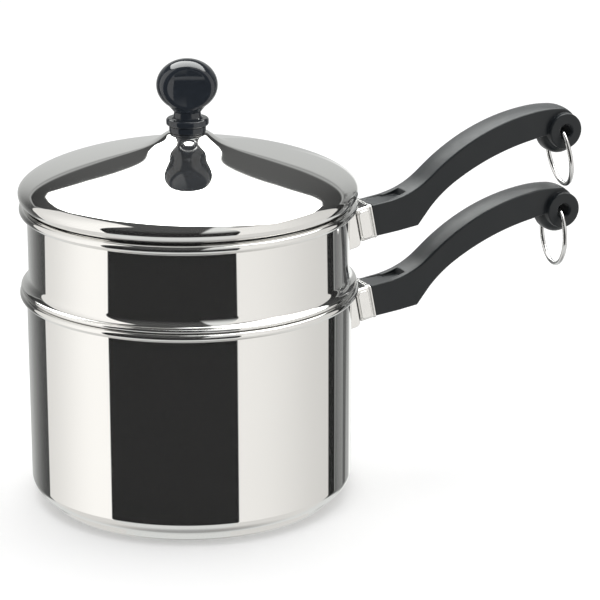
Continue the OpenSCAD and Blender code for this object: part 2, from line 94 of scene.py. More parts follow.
@dataclass(frozen=True)
class Finish:
    """One surface finish, as numbers that its material is built from.

    The colour goes from dark to light, and the roughness from its first number to its second,
    in soft patches. The grain is a bump. Patch and grain sizes are in metres.
    """

    name: str
    slot: str
    light: tuple[float, float, float]
    dark: tuple[float, float, float]
    metallic: float
    roughness: tuple[float, float]
    grain: Grain
    patch_size: float = 0.03
    grain_size: float = 0.0006
    grain_height: float = 0.000002
    ior: float = 1.5
    sheen: float = 0.0
    sheen_spread: float = 0.3
    patch_span: tuple[float, float] = (0.3, 0.7)

    @cache
    def material(self) -> bpy.types.Material:
        """Returns the finish's material, built on its first call."""
        made = bpy.data.materials.new(self.name)
        made.use_nodes = True
        graph = Graph(made.node_tree)
        shader = graph.tree.nodes["Principled BSDF"]
        shader.inputs["Metallic"].default_value = self.metallic
        shader.inputs["IOR"].default_value = self.ior
        shader.inputs["Sheen Weight"].default_value = self.sheen
        shader.inputs["Sheen Roughness"].default_value = self.sheen_spread
        place = graph.add("ShaderNodeTexCoord").outputs["Object"]
        patches = graph.noise(place, 1 / self.patch_size, detail=3.0)
        graph.link(graph.tint(patches, self.dark, self.light), shader.inputs["Base Color"])
        spread = graph.between(patches, *self.patch_span, *self.roughness)
        graph.link(spread, shader.inputs["Roughness"])
        bump = graph.add("ShaderNodeBump")
        bump.inputs["Distance"].default_value = self.grain_height
        graph.link(self._grain(graph, place), bump.inputs["Height"])
        graph.link(bump.outputs["Normal"], shader.inputs["Normal"])
        made.diffuse_color = (*self.light, 1)
        return made

    def _grain(self, graph: Graph, place: bpy.types.NodeSocket) -> bpy.types.NodeSocket:
        """Returns the height pattern: noise in place, or in distance from the axis and height.

        Args:
            graph: the material's graph.
            place: the socket with object coordinates.

        Returns:
            The height's socket.
        """
        if self.grain is not Grain.SPUN:
            return graph.noise(place, 1 / self.grain_size, detail=2.0)
        parts = graph.add("ShaderNodeSeparateXYZ")
        graph.link(place, parts.inputs[0])
        across = graph.math("MULTIPLY", parts.outputs["X"], parts.outputs["X"])
        deep = graph.math("MULTIPLY", parts.outputs["Y"], parts.outputs["Y"])
        radius = graph.math("SQRT", graph.math("ADD", across, deep))
        rings = graph.add("ShaderNodeCombineXYZ")
        graph.link(radius, rings.inputs["X"])
        graph.link(parts.outputs["Z"], rings.inputs["Z"])
        return graph.noise(rings.outputs[0], 1 / self.grain_size, detail=2.0)


class Graph:
    """Short calls that add nodes to a material's or the world's tree."""

    def __init__(self, tree: bpy.types.NodeTree) -> None:
        """Keeps the tree that nodes are added to."""
        self.tree = tree

    def add(self, kind: str, **settings: object) -> bpy.types.Node:
        """Adds a node and sets its properties.

        Args:
            kind: the node's type name.
            settings: its properties by name.

        Returns:
            The node.
        """
        made = self.tree.nodes.new(kind)
        for name, value in settings.items():
            setattr(made, name, value)
        return made

    def link(self, source: bpy.types.NodeSocket, target: bpy.types.NodeSocket) -> None:
        """Joins an output to an input."""
        self.tree.links.new(source, target)

    def put(self, value: object, target: bpy.types.NodeSocket) -> None:
        """Links a socket, or sets a plain number, on an input.

        Args:
            value: a socket or a number.
            target: the input.
        """
        if isinstance(value, bpy.types.NodeSocket):
            self.link(value, target)
        else:
            target.default_value = value

    def math(self, operation: str, first: object, second: object = None) -> bpy.types.NodeSocket:
        """Adds a Math node.

        Args:
            operation: the node's operation.
            first: a socket or a number.
            second: a socket or a number, where the operation takes two.

        Returns:
            The result's socket.
        """
        made = self.add("ShaderNodeMath", operation=operation)
        self.put(first, made.inputs[0])
        if second is not None:
            self.put(second, made.inputs[1])
        return made.outputs[0]

    def between(
        self, value: bpy.types.NodeSocket, low: float, high: float, start: float, end: float
    ) -> bpy.types.NodeSocket:
        """Turns a range into another with a smooth step.

        Args:
            value: the socket to turn.
            low: its value at the start.
            high: its value at the end.
            start: the result at low and under it.
            end: the result at high and over it.

        Returns:
            The result's socket.
        """
        made = self.add("ShaderNodeMapRange", interpolation_type="SMOOTHSTEP")
        numbers = {"From Min": low, "From Max": high, "To Min": start, "To Max": end}
        for name, number in numbers.items():
            made.inputs[name].default_value = number
        self.link(value, made.inputs["Value"])
        return made.outputs["Result"]

    def noise(
        self, place: bpy.types.NodeSocket, scale: float, detail: float
    ) -> bpy.types.NodeSocket:
        """Adds a Noise Texture.

        Args:
            place: the socket with the coordinates that it is laid on.
            scale: its scale.
            detail: its number of finer layers.

        Returns:
            The noise's value, from 0 to 1.
        """
        made = self.add("ShaderNodeTexNoise")
        made.inputs["Scale"].default_value = scale
        made.inputs["Detail"].default_value = detail
        self.link(place, made.inputs["Vector"])
        return made.outputs[0]

    def blend(self, share: object, under: object, over: object) -> bpy.types.NodeSocket:
        """Lays one value over another.

        Args:
            share: how much of the upper value shows, from 0 to 1.
            under: the lower value, a socket or a number.
            over: the upper value, a socket or a number.

        Returns:
            The result's socket.
        """
        made = self.add("ShaderNodeMix", data_type="FLOAT")
        self.put(share, made.inputs["Factor"])
        self.put(under, made.inputs["A"])
        self.put(over, made.inputs["B"])
        return made.outputs["Result"]

    def tint(self, share: object, under: object, over: object) -> bpy.types.NodeSocket:
        """Lays one colour over another.

        Args:
            share: how much of the upper colour shows, from 0 to 1.
            under: the lower colour, a socket or three numbers.
            over: the upper colour, a socket or three numbers.

        Returns:
            The result's socket.
        """
        made = self.add("ShaderNodeMix", data_type="RGBA")
        self.put(share, made.inputs["Factor"])
        for colour, name in ((under, "A"), (over, "B")):
            plain = not isinstance(colour, bpy.types.NodeSocket)
            self.put((*colour, 1) if plain else colour, made.inputs[name])
        return made.outputs["Result"]


POLISHED = Finish(
    name="buffed_steel",
    slot="polished_steel",
    light=(0.93, 0.925, 0.91),
    dark=(0.90, 0.895, 0.88),
    metallic=0.975,
    roughness=(0.02, 0.045),
    grain=Grain.SPUN,
    patch_size=0.05,
    grain_size=0.0004,
    grain_height=0.0000001,
)
PRESSED = Finish(
    name="pressed_steel",
    slot="polished_steel",
    light=(0.92, 0.915, 0.90),
    dark=(0.86, 0.855, 0.84),
    metallic=0.975,
    roughness=(0.09, 0.15),
    grain=Grain.PRESSED,
    patch_size=0.006,
    grain_size=0.0012,
    grain_height=0.000004,
)
WIRE = Finish(
    name="ring_wire",
    slot="ring_steel",
    light=(0.90, 0.90, 0.90),
    dark=(0.78, 0.78, 0.78),
    metallic=1.0,
    roughness=(0.08, 0.2),
    grain=Grain.DRAWN,
    patch_size=0.004,
    grain_size=0.001,
    grain_height=0.00002,
)
HANDLE_BLACK = Finish(
    name="moulded_handle_black",
    slot="handle_phenolic",
    light=(0.007, 0.010, 0.013),
    dark=(0.004, 0.007, 0.009),
    metallic=0.0,
    roughness=(0.36, 0.44),
    grain=Grain.MOULDED,
    patch_size=0.012,
    grain_size=0.0009,
    grain_height=0.000006,
    sheen=0.25,
)
KNOB_BLACK = Finish(
    name="glossy_knob_black",
    slot="knob_phenolic",
    light=(0.025, 0.030, 0.038),
    dark=(0.019, 0.023, 0.029),
    metallic=0.0,
    roughness=(0.02, 0.04),
    grain=Grain.MOULDED,
    patch_size=0.01,
    grain_size=0.002,
    grain_height=0.000003,
    ior=1.6,
)
CORE = Finish(
    name="sawn_aluminium",
    slot="aluminium_core",
    light=(0.80, 0.80, 0.81),
    dark=(0.68, 0.68, 0.69),
    metallic=1.0,
    roughness=(0.3, 0.45),
    grain=Grain.SPUN,
)
BRASS = Finish(
    name="turned_brass",
    slot="brass_insert",
    light=(0.80, 0.62, 0.30),
    dark=(0.68, 0.50, 0.22),
    metallic=1.0,
    roughness=(0.2, 0.35),
    grain=Grain.SPUN,
)
FASTENER = Finish(
    name="fastener_steel",
    slot="screw_steel",
    light=(0.72, 0.72, 0.71),
    dark=(0.55, 0.55, 0.54),
    metallic=1.0,
    roughness=(0.18, 0.34),
    grain=Grain.PRESSED,
    patch_size=0.002,
    grain_size=0.0004,
)


# Surfaces


def heading(degrees: float | np.ndarray) -> np.ndarray:
    """Unit vector at an angle from the first axis, in degrees."""
    angle = np.radians(degrees)
    return np.stack([np.cos(angle), np.sin(angle)], -1)


def arc(
    centre: Sequence[float], radius: float, start: float, end: float, steps: int
) -> np.ndarray:
    """Points on a circle: centre plus radius times the unit vector at evenly spread angles.

    Args:
        centre: the circle's middle.
        radius: its radius.
        start: first angle in degrees.
        end: last angle in degrees.
        steps: number of steps between them.

    Returns:
        An array of steps + 1 points.
    """
    return np.asarray(centre, float) + radius * heading(np.linspace(start, end, steps + 1))


def along(start: Sequence[float], angle: float, run: float) -> np.ndarray:
    """The point that lies a run away from start, in the direction of the angle."""
    return np.asarray(start, float) + run * heading(angle)


def bend(
    start: np.ndarray, radius: float, first: float, last: float, steps: int = 24
) -> np.ndarray:
    """Points of a turn that leaves start with slope first and ends with slope last.

    The middle of the turn lies a radius to the left of start where the slope grows, and to the
    right where it falls. Each point is the middle minus that side's normal times the radius.

    Args:
        start: where the turn starts.
        radius: its radius.
        first: slope at the start, in degrees.
        last: slope at the end, in degrees.
        steps: number of points.

    Returns:
        The points after start.
    """
    side = 1.0 if last > first else -1.0
    centre = start + side * radius * heading(first + 90)
    slopes = np.linspace(first, last, steps + 1)[1:]
    return centre - side * radius * heading(slopes + 90)


def parallel(path: np.ndarray, distance: float) -> np.ndarray:
    """The path shifted to its left: each point moves along the mitre of its two edges' normals.

    The mitre is the sum of the two normals over one plus their dot product.

    Args:
        path: points of an open path.
        distance: how far it shifts.

    Returns:
        As many points.
    """
    steps = np.diff(path, axis=0)
    steps /= np.linalg.norm(steps, axis=1, keepdims=True)
    normals = np.stack([-steps[:, 1], steps[:, 0]], 1)
    before = np.vstack([normals[:1], normals])
    after = np.vstack([normals, normals[-1:]])
    share = 1 + (before * after).sum(1, keepdims=True)
    return path + distance * (before + after) / share


def sheet_outline(path: np.ndarray, thickness: float) -> np.ndarray:
    """Closed outline of a sheet: the path, and its parallel copy walked back."""
    return np.vstack([path, parallel(path, thickness)[::-1]])


def grid_quads(rows: int, columns: int, close_rows: bool, close_columns: bool) -> np.ndarray:
    """Corner numbers of the quads of a grid of points, stored row by row.

    Args:
        rows: number of rows of points.
        columns: number of points in a row.
        close_rows: whether the last row joins the first.
        close_columns: whether the last column joins the first.

    Returns:
        An array of four numbers a quad.
    """
    row = np.arange(rows if close_rows else rows - 1)[:, None]
    column = np.arange(columns if close_columns else columns - 1)[None, :]
    next_row = (row + 1) % rows
    next_column = (column + 1) % columns
    corners = [
        row * columns + column,
        row * columns + next_column,
        next_row * columns + next_column,
        next_row * columns + column,
    ]
    return np.stack([c.ravel() for c in corners], 1)


def fan(ring: np.ndarray, hub: int) -> np.ndarray:
    """Triangles from each side of a closed ring of point numbers to a hub point."""
    return np.stack([ring, np.roll(ring, -1), np.full(len(ring), hub)], 1)


@dataclass
class Mesh:
    """Points in millimetres with quads, triangles and, if known, a normal at each point."""

    points: np.ndarray
    quads: np.ndarray
    triangles: np.ndarray = field(default_factory=lambda: np.zeros((0, 3), int))
    normals: Optional[np.ndarray] = None

    def moved(self, shift: Sequence[float]) -> Mesh:
        """Returns the mesh at another place, unturned."""
        return Mesh(self.points + np.asarray(shift), self.quads, self.triangles, self.normals)

    def turned(self, matrix: np.ndarray) -> Mesh:
        """Returns the mesh turned about the origin by a rotation matrix."""
        normals = None if self.normals is None else self.normals @ matrix.T
        return Mesh(self.points @ matrix.T, self.quads, self.triangles, normals)

    def volume(self) -> float:
        """Volume of the closed mesh: the sum over all triangles of a dot (b cross c) / 6.

        Returns:
            Cubic millimetres, positive if the faces point outwards.
        """
        split = np.vstack([self.triangles, self.quads[:, [0, 1, 2]], self.quads[:, [0, 2, 3]]])
        a, b, c = (self.points[split[:, k]] for k in range(3))
        return float(np.einsum("ij,ij->", a, np.cross(b, c)) / 6)

    def piece(self, name: str, finish: Finish, body: str, crease: float = 40.0) -> bpy.types.Object:
        """Makes the Blender object: closed, smooth, with its faces outwards, riding on a body.

        Args:
            name: the piece's name.
            finish: its finish.
            body: the moving body it rides on.
            crease: angle in degrees above which an edge stays sharp.

        Returns:
            The object.
        """
        quads, triangles = self.quads, self.triangles
        if self.volume() < 0:
            quads, triangles = quads[:, ::-1], triangles[:, ::-1]
        corners = np.concatenate([quads.ravel(), triangles.ravel()]).astype(np.int32)
        sizes = np.concatenate([np.full(len(quads), 4), np.full(len(triangles), 3)])
        starts = np.concatenate([[0], np.cumsum(sizes)[:-1]]).astype(np.int32)
        data = bpy.data.meshes.new(name)
        data.vertices.add(len(self.points))
        data.vertices.foreach_set("co", (self.points * MM).astype(np.float32).ravel())
        data.loops.add(len(corners))
        data.loops.foreach_set("vertex_index", corners)
        data.polygons.add(len(sizes))
        data.polygons.foreach_set("loop_start", starts)
        data.polygons.foreach_set("use_smooth", np.ones(len(sizes), bool))
        data.update(calc_edges=True)
        data.validate()
        if self.normals is not None:
            data.normals_split_custom_set_from_vertices(self.normals.astype(np.float32).tolist())
        else:
            data.set_sharp_from_angle(angle=math.radians(crease))
        made = bpy.data.objects.new(name, data)
        bpy.context.scene.collection.objects.link(made)
        data.materials.append(finish.material())
        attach(made, body)
        LOG.info("%s: %d points, rides on %s", name, len(self.points), body)
        return made


def turned(outline: np.ndarray, steps: int = AROUND) -> Mesh:
    """Surface of revolution about Z: (r cos t, r sin t, z) for each outline point and angle t.

    Where the outline's two ends lie on the axis, each becomes one pole. An outline that keeps
    off the axis is closed into a ring.

    Args:
        outline: points of radius and height.
        steps: number of angles.

    Returns:
        The closed mesh.
    """
    on_axis = outline[:, 0] < 1e-6
    rows = outline[~on_axis]
    spin = heading(np.arange(steps) * 360.0 / steps)
    flat = rows[:, None, :1] * spin[None]
    height = np.broadcast_to(rows[:, None, 1:], (len(rows), steps, 1))
    points = np.concatenate([flat, height], 2).reshape(-1, 3)
    quads = grid_quads(len(rows), steps, not on_axis.any(), True)
    if not on_axis.any():
        return Mesh(points, quads)
    poles = np.stack([np.zeros(2), np.zeros(2), outline[[0, -1], 1]], 1)
    first = np.arange(steps)
    last = first + (len(rows) - 1) * steps
    caps = np.vstack([fan(first, len(points))[:, ::-1], fan(last, len(points) + 1)])
    return Mesh(np.vstack([points, poles]), quads, caps)


def wire_loop(radius: float, wire: float, start: float, gap: float) -> Mesh:
    """Round wire bent into a circle in the YZ plane, open by a small joint.

    A point is (w sin v, (R + w cos v) cos u, (R + w cos v) sin u), where u runs along the
    wire, v round it, R is the circle's radius and w the wire's.

    Args:
        radius: radius of the centre line.
        wire: diameter of the wire.
        start: angle of the joint, in degrees.
        gap: width of the joint.

    Returns:
        The closed mesh, with flat ends.
    """
    opening = math.degrees(gap / radius)
    course = heading(np.linspace(start, start + 360 - opening, WIRE_ALONG + 1))
    around = np.arange(WIRE_AROUND)
    round_wire = wire / 2 * heading(around * 360.0 / WIRE_AROUND)
    reach = radius + round_wire[:, 0]
    side = np.broadcast_to(round_wire[:, 1], (len(course), len(reach)))
    rows = [side, course[:, :1] * reach, course[:, 1:] * reach]
    points = np.stack(rows, -1).reshape(-1, 3)
    ends = np.stack([points[:WIRE_AROUND].mean(0), points[-WIRE_AROUND:].mean(0)])
    last = len(points) - WIRE_AROUND + around
    caps = np.vstack([fan(around, len(points))[:, ::-1], fan(last, len(points) + 1)])
    quads = grid_quads(len(course), WIRE_AROUND, False, True)
    return Mesh(np.vstack([points, ends]), quads, caps)


# Forms given by a field: negative inside, and close to the distance from the surface


def rounded(first: np.ndarray, second: np.ndarray, radius: np.ndarray | float) -> np.ndarray:
    """Overlap of two fields with its edge rounded by a radius.

    Both fields are moved in by the radius. Outside the corner the distance is the length of
    their positive parts, inside it is the larger of the two, and the radius is taken off.

    Args:
        first: a field.
        second: another.
        radius: the edge's radius, one number or a field of its own.

    Returns:
        The overlap's field.
    """
    a, b = first + radius, second + radius
    outside = np.hypot(np.maximum(a, 0), np.maximum(b, 0))
    return outside + np.minimum(np.maximum(a, b), 0) - radius


def joined(first: np.ndarray, second: np.ndarray, fillet: float) -> np.ndarray:
    """Union of two fields with a fillet: the negative of the rounded overlap of the outsides."""
    return -rounded(-first, -second, fillet)


def without(solid: np.ndarray, hole: np.ndarray, radius: float) -> np.ndarray:
    """A field with another taken away, and the new edge rounded by a radius."""
    return rounded(solid, -hole, radius)


def outline_distance(outline: np.ndarray, x: np.ndarray, z: np.ndarray) -> np.ndarray:
    """Signed distance from points to a closed outline, negative inside.

    The distance is the least over the outline's sides, each taken at the nearest point of the
    side. A point is inside if a line from it along the first axis meets an odd number of sides.

    Args:
        outline: the outline's points.
        x: first coordinates.
        z: second coordinates.

    Returns:
        Distances in the shape that x and z share.
    """
    x, z = np.broadcast_arrays(x, z)
    side = np.roll(outline, -1, 0) - outline
    length = (side * side).sum(1)
    lean = side[:, 0] / np.where(side[:, 1] == 0, 1, side[:, 1])
    foot = outline[:, 0] - outline[:, 1] * lean
    top = np.roll(outline[:, 1], -1)
    places = np.stack([x.ravel(), z.ravel()], 1)
    found = []
    for block in np.array_split(places, 1 + len(places) // BLOCK):
        run = block @ side.T - (outline * side).sum(1)
        share = np.clip(run / length, 0, 1)
        away_x = block[:, :1] - outline[:, 0] - share * side[:, 0]
        away_z = block[:, 1:] - outline[:, 1] - share * side[:, 1]
        least = np.sqrt((away_x * away_x + away_z * away_z).min(1))
        spans = (block[:, 1:] < outline[:, 1]) != (block[:, 1:] < top)
        beyond = block[:, :1] - block[:, 1:] * lean < foot
        inside = (spans & beyond).sum(1) % 2 == 1
        found.append(np.where(inside, -least, least))
    return np.concatenate(found).reshape(x.shape)


def surface_net(values: np.ndarray, low: np.ndarray, pitch: float) -> Mesh:
    """Surface where a field on a grid is zero: one point in each cell that it crosses.

    The point is the mean of the places where the field is zero along the cell's edges. Each
    grid edge that the surface crosses gives one quad between the four cells round it.

    Args:
        values: the field at the grid's points.
        low: the grid's lowest corner.
        pitch: its spacing.

    Returns:
        The mesh.
    """
    cells = tuple(n - 1 for n in values.shape)
    total = np.zeros((*cells, 3))
    count = np.zeros(cells)
    for axis in range(3):
        others = [k for k in range(3) if k != axis]
        for shift in ((0, 0), (0, 1), (1, 0), (1, 1)):
            corner = [0, 0, 0]
            corner[others[0]], corner[others[1]] = shift
            near = tuple(slice(c, c + n) for c, n in zip(corner, cells))
            corner[axis] = 1
            far = tuple(slice(c, c + n) for c, n in zip(corner, cells))
            start, end = values[near], values[far]
            crossed = (start < 0) != (end < 0)
            share = np.where(crossed, start / np.where(crossed, start - end, 1), 0)
            total[..., axis] += np.where(crossed, share, 0)
            total[..., others[0]] += crossed * shift[0]
            total[..., others[1]] += crossed * shift[1]
            count += crossed
    used = count > 0
    number = np.full(cells, -1)
    number[used] = np.arange(used.sum())
    place = np.argwhere(used) + total[used] / count[used][:, None]
    quads = []
    for axis in range(3):
        others = [k for k in range(3) if k != axis]
        inner = [slice(None)] * 3
        for other in others:
            inner[other] = slice(1, -1)
        start = np.take(values, range(values.shape[axis] - 1), axis)[tuple(inner)]
        end = np.take(values, range(1, values.shape[axis]), axis)[tuple(inner)]
        crossed = np.argwhere((start < 0) != (end < 0))
        rising = (start < 0)[tuple(crossed.T)]
        corners = []
        for shift in ((0, 0), (1, 0), (1, 1), (0, 1)):
            step = np.zeros(3, int)
            step[others[0]], step[others[1]] = shift
            corners.append(number[tuple((crossed + step).T)])
        ring = np.stack(corners, 1)
        if axis == 1:
            rising = ~rising
        quads.append(np.where(rising[:, None], ring, ring[:, ::-1]))
    return Mesh(low + pitch * place, np.vstack(quads))


def field_surface(shape: Field, low: Sequence[float], high: Sequence[float], pitch: float) -> Mesh:
    """Meshes a form given by its field, then draws the points onto it and takes its normals.

    A point moves against the field's slope by the field's value over the slope's square, twice.

    Args:
        shape: the field.
        low: lowest corner of a box round the form.
        high: its highest corner.
        pitch: grid spacing.

    Returns:
        The mesh with its normals.
    """
    low = np.asarray(low, float)
    sizes = np.ceil((np.asarray(high, float) - low) / pitch).astype(int) + 1
    x, y, z = np.meshgrid(*(low[k] + pitch * np.arange(sizes[k]) for k in range(3)),
                          indexing="ij", sparse=True)
    made = surface_net(np.broadcast_to(shape(x, y, z), tuple(sizes)), low, pitch)
    step = 0.05
    least_steep = 0.25

    def slope(points: np.ndarray) -> np.ndarray:
        """The field's slope, by differences over a short step each way.

        Args:
            points: where it is taken.

        Returns:
            One vector a point.
        """
        ways = step * np.eye(3)
        rise = [shape(*(points + way).T) - shape(*(points - way).T) for way in ways]
        return np.stack(rise, 1) / (2 * step)

    for _ in range(2):
        value = shape(*made.points.T)
        way = slope(made.points)
        steep = np.maximum((way * way).sum(1), least_steep)
        drawn = np.clip(value / steep, -pitch / 2, pitch / 2)
        made.points = made.points - drawn[:, None] * way
    made.normals = slope(made.points)
    made.normals /= np.maximum(np.linalg.norm(made.normals, axis=1, keepdims=True), 1e-6)
    return made


def about_y(degrees: float) -> np.ndarray:
    """Rotation matrix that lifts the X axis towards Z by an angle."""
    c, s = heading(degrees)
    return np.array([[c, 0, -s], [0, 1, 0], [s, 0, c]])


def about_z(degrees: float) -> np.ndarray:
    """Rotation matrix that turns the X axis towards Y by an angle."""
    c, s = heading(degrees)
    return np.array([[c, -s, 0], [s, c, 0], [0, 0, 1]])


# Sub-assemblies


@dataclass
class Pan:
    """The saucepan: a spun sheet with a rolled rim, on a capped base."""

    wall_r: float = 79.4
    rim_z: float = 104.7
    corner_r: float = 7.2
    bead_r: float = 2.05
    sheet: float = 0.8
    core_h: float = 3.6
    cap_sheet: float = 0.7
    cap_edge_r: float = 1.5
    cap_lean: float = 9.0
    cap_inset: float = 0.2
    curl_end: float = -118.0

    @property
    def base_h(self) -> float:
        """Height of the pan's own floor."""
        return self.core_h + self.cap_sheet

    @property
    def base_r(self) -> float:
        """Radius of the base's cap."""
        return self.wall_r - self.corner_r - self.cap_inset

    def curl(self, wall_r: float, rim_z: float, bead_r: float) -> np.ndarray:
        """The rolled rim's outer face: an arc from the wall's direction round to the curl's end."""
        centre = (wall_r - self.sheet + bead_r, rim_z)
        return arc(centre, bead_r - self.sheet, 180, self.curl_end, 40)

    def shell(self) -> Mesh:
        """Floor, bottom corner, straight wall and rolled rim, as one turned sheet.

        Returns:
            The closed mesh.
        """
        centre = (self.wall_r - self.corner_r, self.base_h + self.corner_r)
        path = np.vstack([
            [[0, self.base_h]],
            arc(centre, self.corner_r, -90, 0, 32),
            self.curl(self.wall_r, self.rim_z, self.bead_r),
        ])
        return turned(sheet_outline(path, self.sheet))

    def cap(self) -> Mesh:
        """The base's steel cap: a flat disc with a rounded edge and a side that leans out.

        Returns:
            The closed mesh.
        """
        rise = self.base_h - self.cap_edge_r
        inset = rise * math.tan(math.radians(self.cap_lean))
        centre = (self.base_r - inset - self.cap_edge_r, self.cap_edge_r)
        path = np.vstack([
            [[0, 0]],
            arc(centre, self.cap_edge_r, -90, -self.cap_lean, 12),
            [[self.base_r, self.base_h]],
        ])
        return turned(sheet_outline(path, self.cap_sheet))

    def build(self) -> None:
        """Makes the saucepan's shell and base cap."""
        shell = self.shell().piece("saucepan_shell", POLISHED, "saucepan")
        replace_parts(shell, "pan_body")
        cap = self.cap().piece("saucepan_base_cap", POLISHED, "saucepan")
        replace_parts(cap, "base_cap")


@dataclass
class Insert:
    """The insert pan: a cup that hangs in the saucepan, a seating lip, a cove and a wall."""

    pan: Pan
    rise: float = 42.0
    step_in: float = 1.1
    bead_r: float = 2.3
    cup_depth: float = 55.0
    cup_corner_r: float = 10.0
    cup_gap: float = 1.8
    shoulder_out: float = 3.7
    cove_r: float = 5.0
    lip_r: float = 1.0
    inner_r: float = 1.0
    rest_gap: float = 0.3

    @property
    def wall_r(self) -> float:
        """Radius of the wall above the saucepan."""
        return self.pan.wall_r - self.step_in

    @property
    def rim_z(self) -> float:
        """Height of the middle of the rolled rim."""
        return self.pan.rim_z + self.rise

    @property
    def seat_z(self) -> float:
        """Height of the lip's underside, just over the saucepan's rim."""
        return self.pan.rim_z + self.pan.bead_r + self.rest_gap

    def shell(self) -> Mesh:
        """Cup, seating lip, cove, wall and rolled rim, as one turned sheet.

        The lip's arc and the cove's arc are tangent: their middles are both radii apart, and
        the angle of the line between them has the cosine 1 - shoulder / (both radii).

        Returns:
            The closed mesh.
        """
        cup_r = self.pan.wall_r - self.pan.sheet - self.cup_gap
        cup_z = self.pan.rim_z - self.cup_depth
        radii = self.lip_r + self.cove_r
        meet = math.degrees(math.acos(1 - self.shoulder_out / radii))
        lip = np.array([self.wall_r + self.shoulder_out - self.lip_r, self.seat_z + self.lip_r])
        cove = along(lip, meet, radii)
        corner = (cup_r - self.cup_corner_r, cup_z + self.cup_corner_r)
        inner = (cup_r + self.inner_r, self.seat_z - self.inner_r)
        path = np.vstack([
            [[0, cup_z]],
            arc(corner, self.cup_corner_r, -90, 0, 30),
            arc(inner, self.inner_r, 180, 90, 8),
            arc(lip, self.lip_r, -90, meet, 16),
            arc(cove, self.cove_r, 180 + meet, 180, 20),
            self.pan.curl(self.wall_r, self.rim_z, self.bead_r),
        ])
        return turned(sheet_outline(path, self.pan.sheet))

    def build(self) -> None:
        """Makes the insert pan's shell."""
        shell = self.shell().piece("insert_shell", POLISHED, "insert")
        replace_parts(shell, "insert_body")


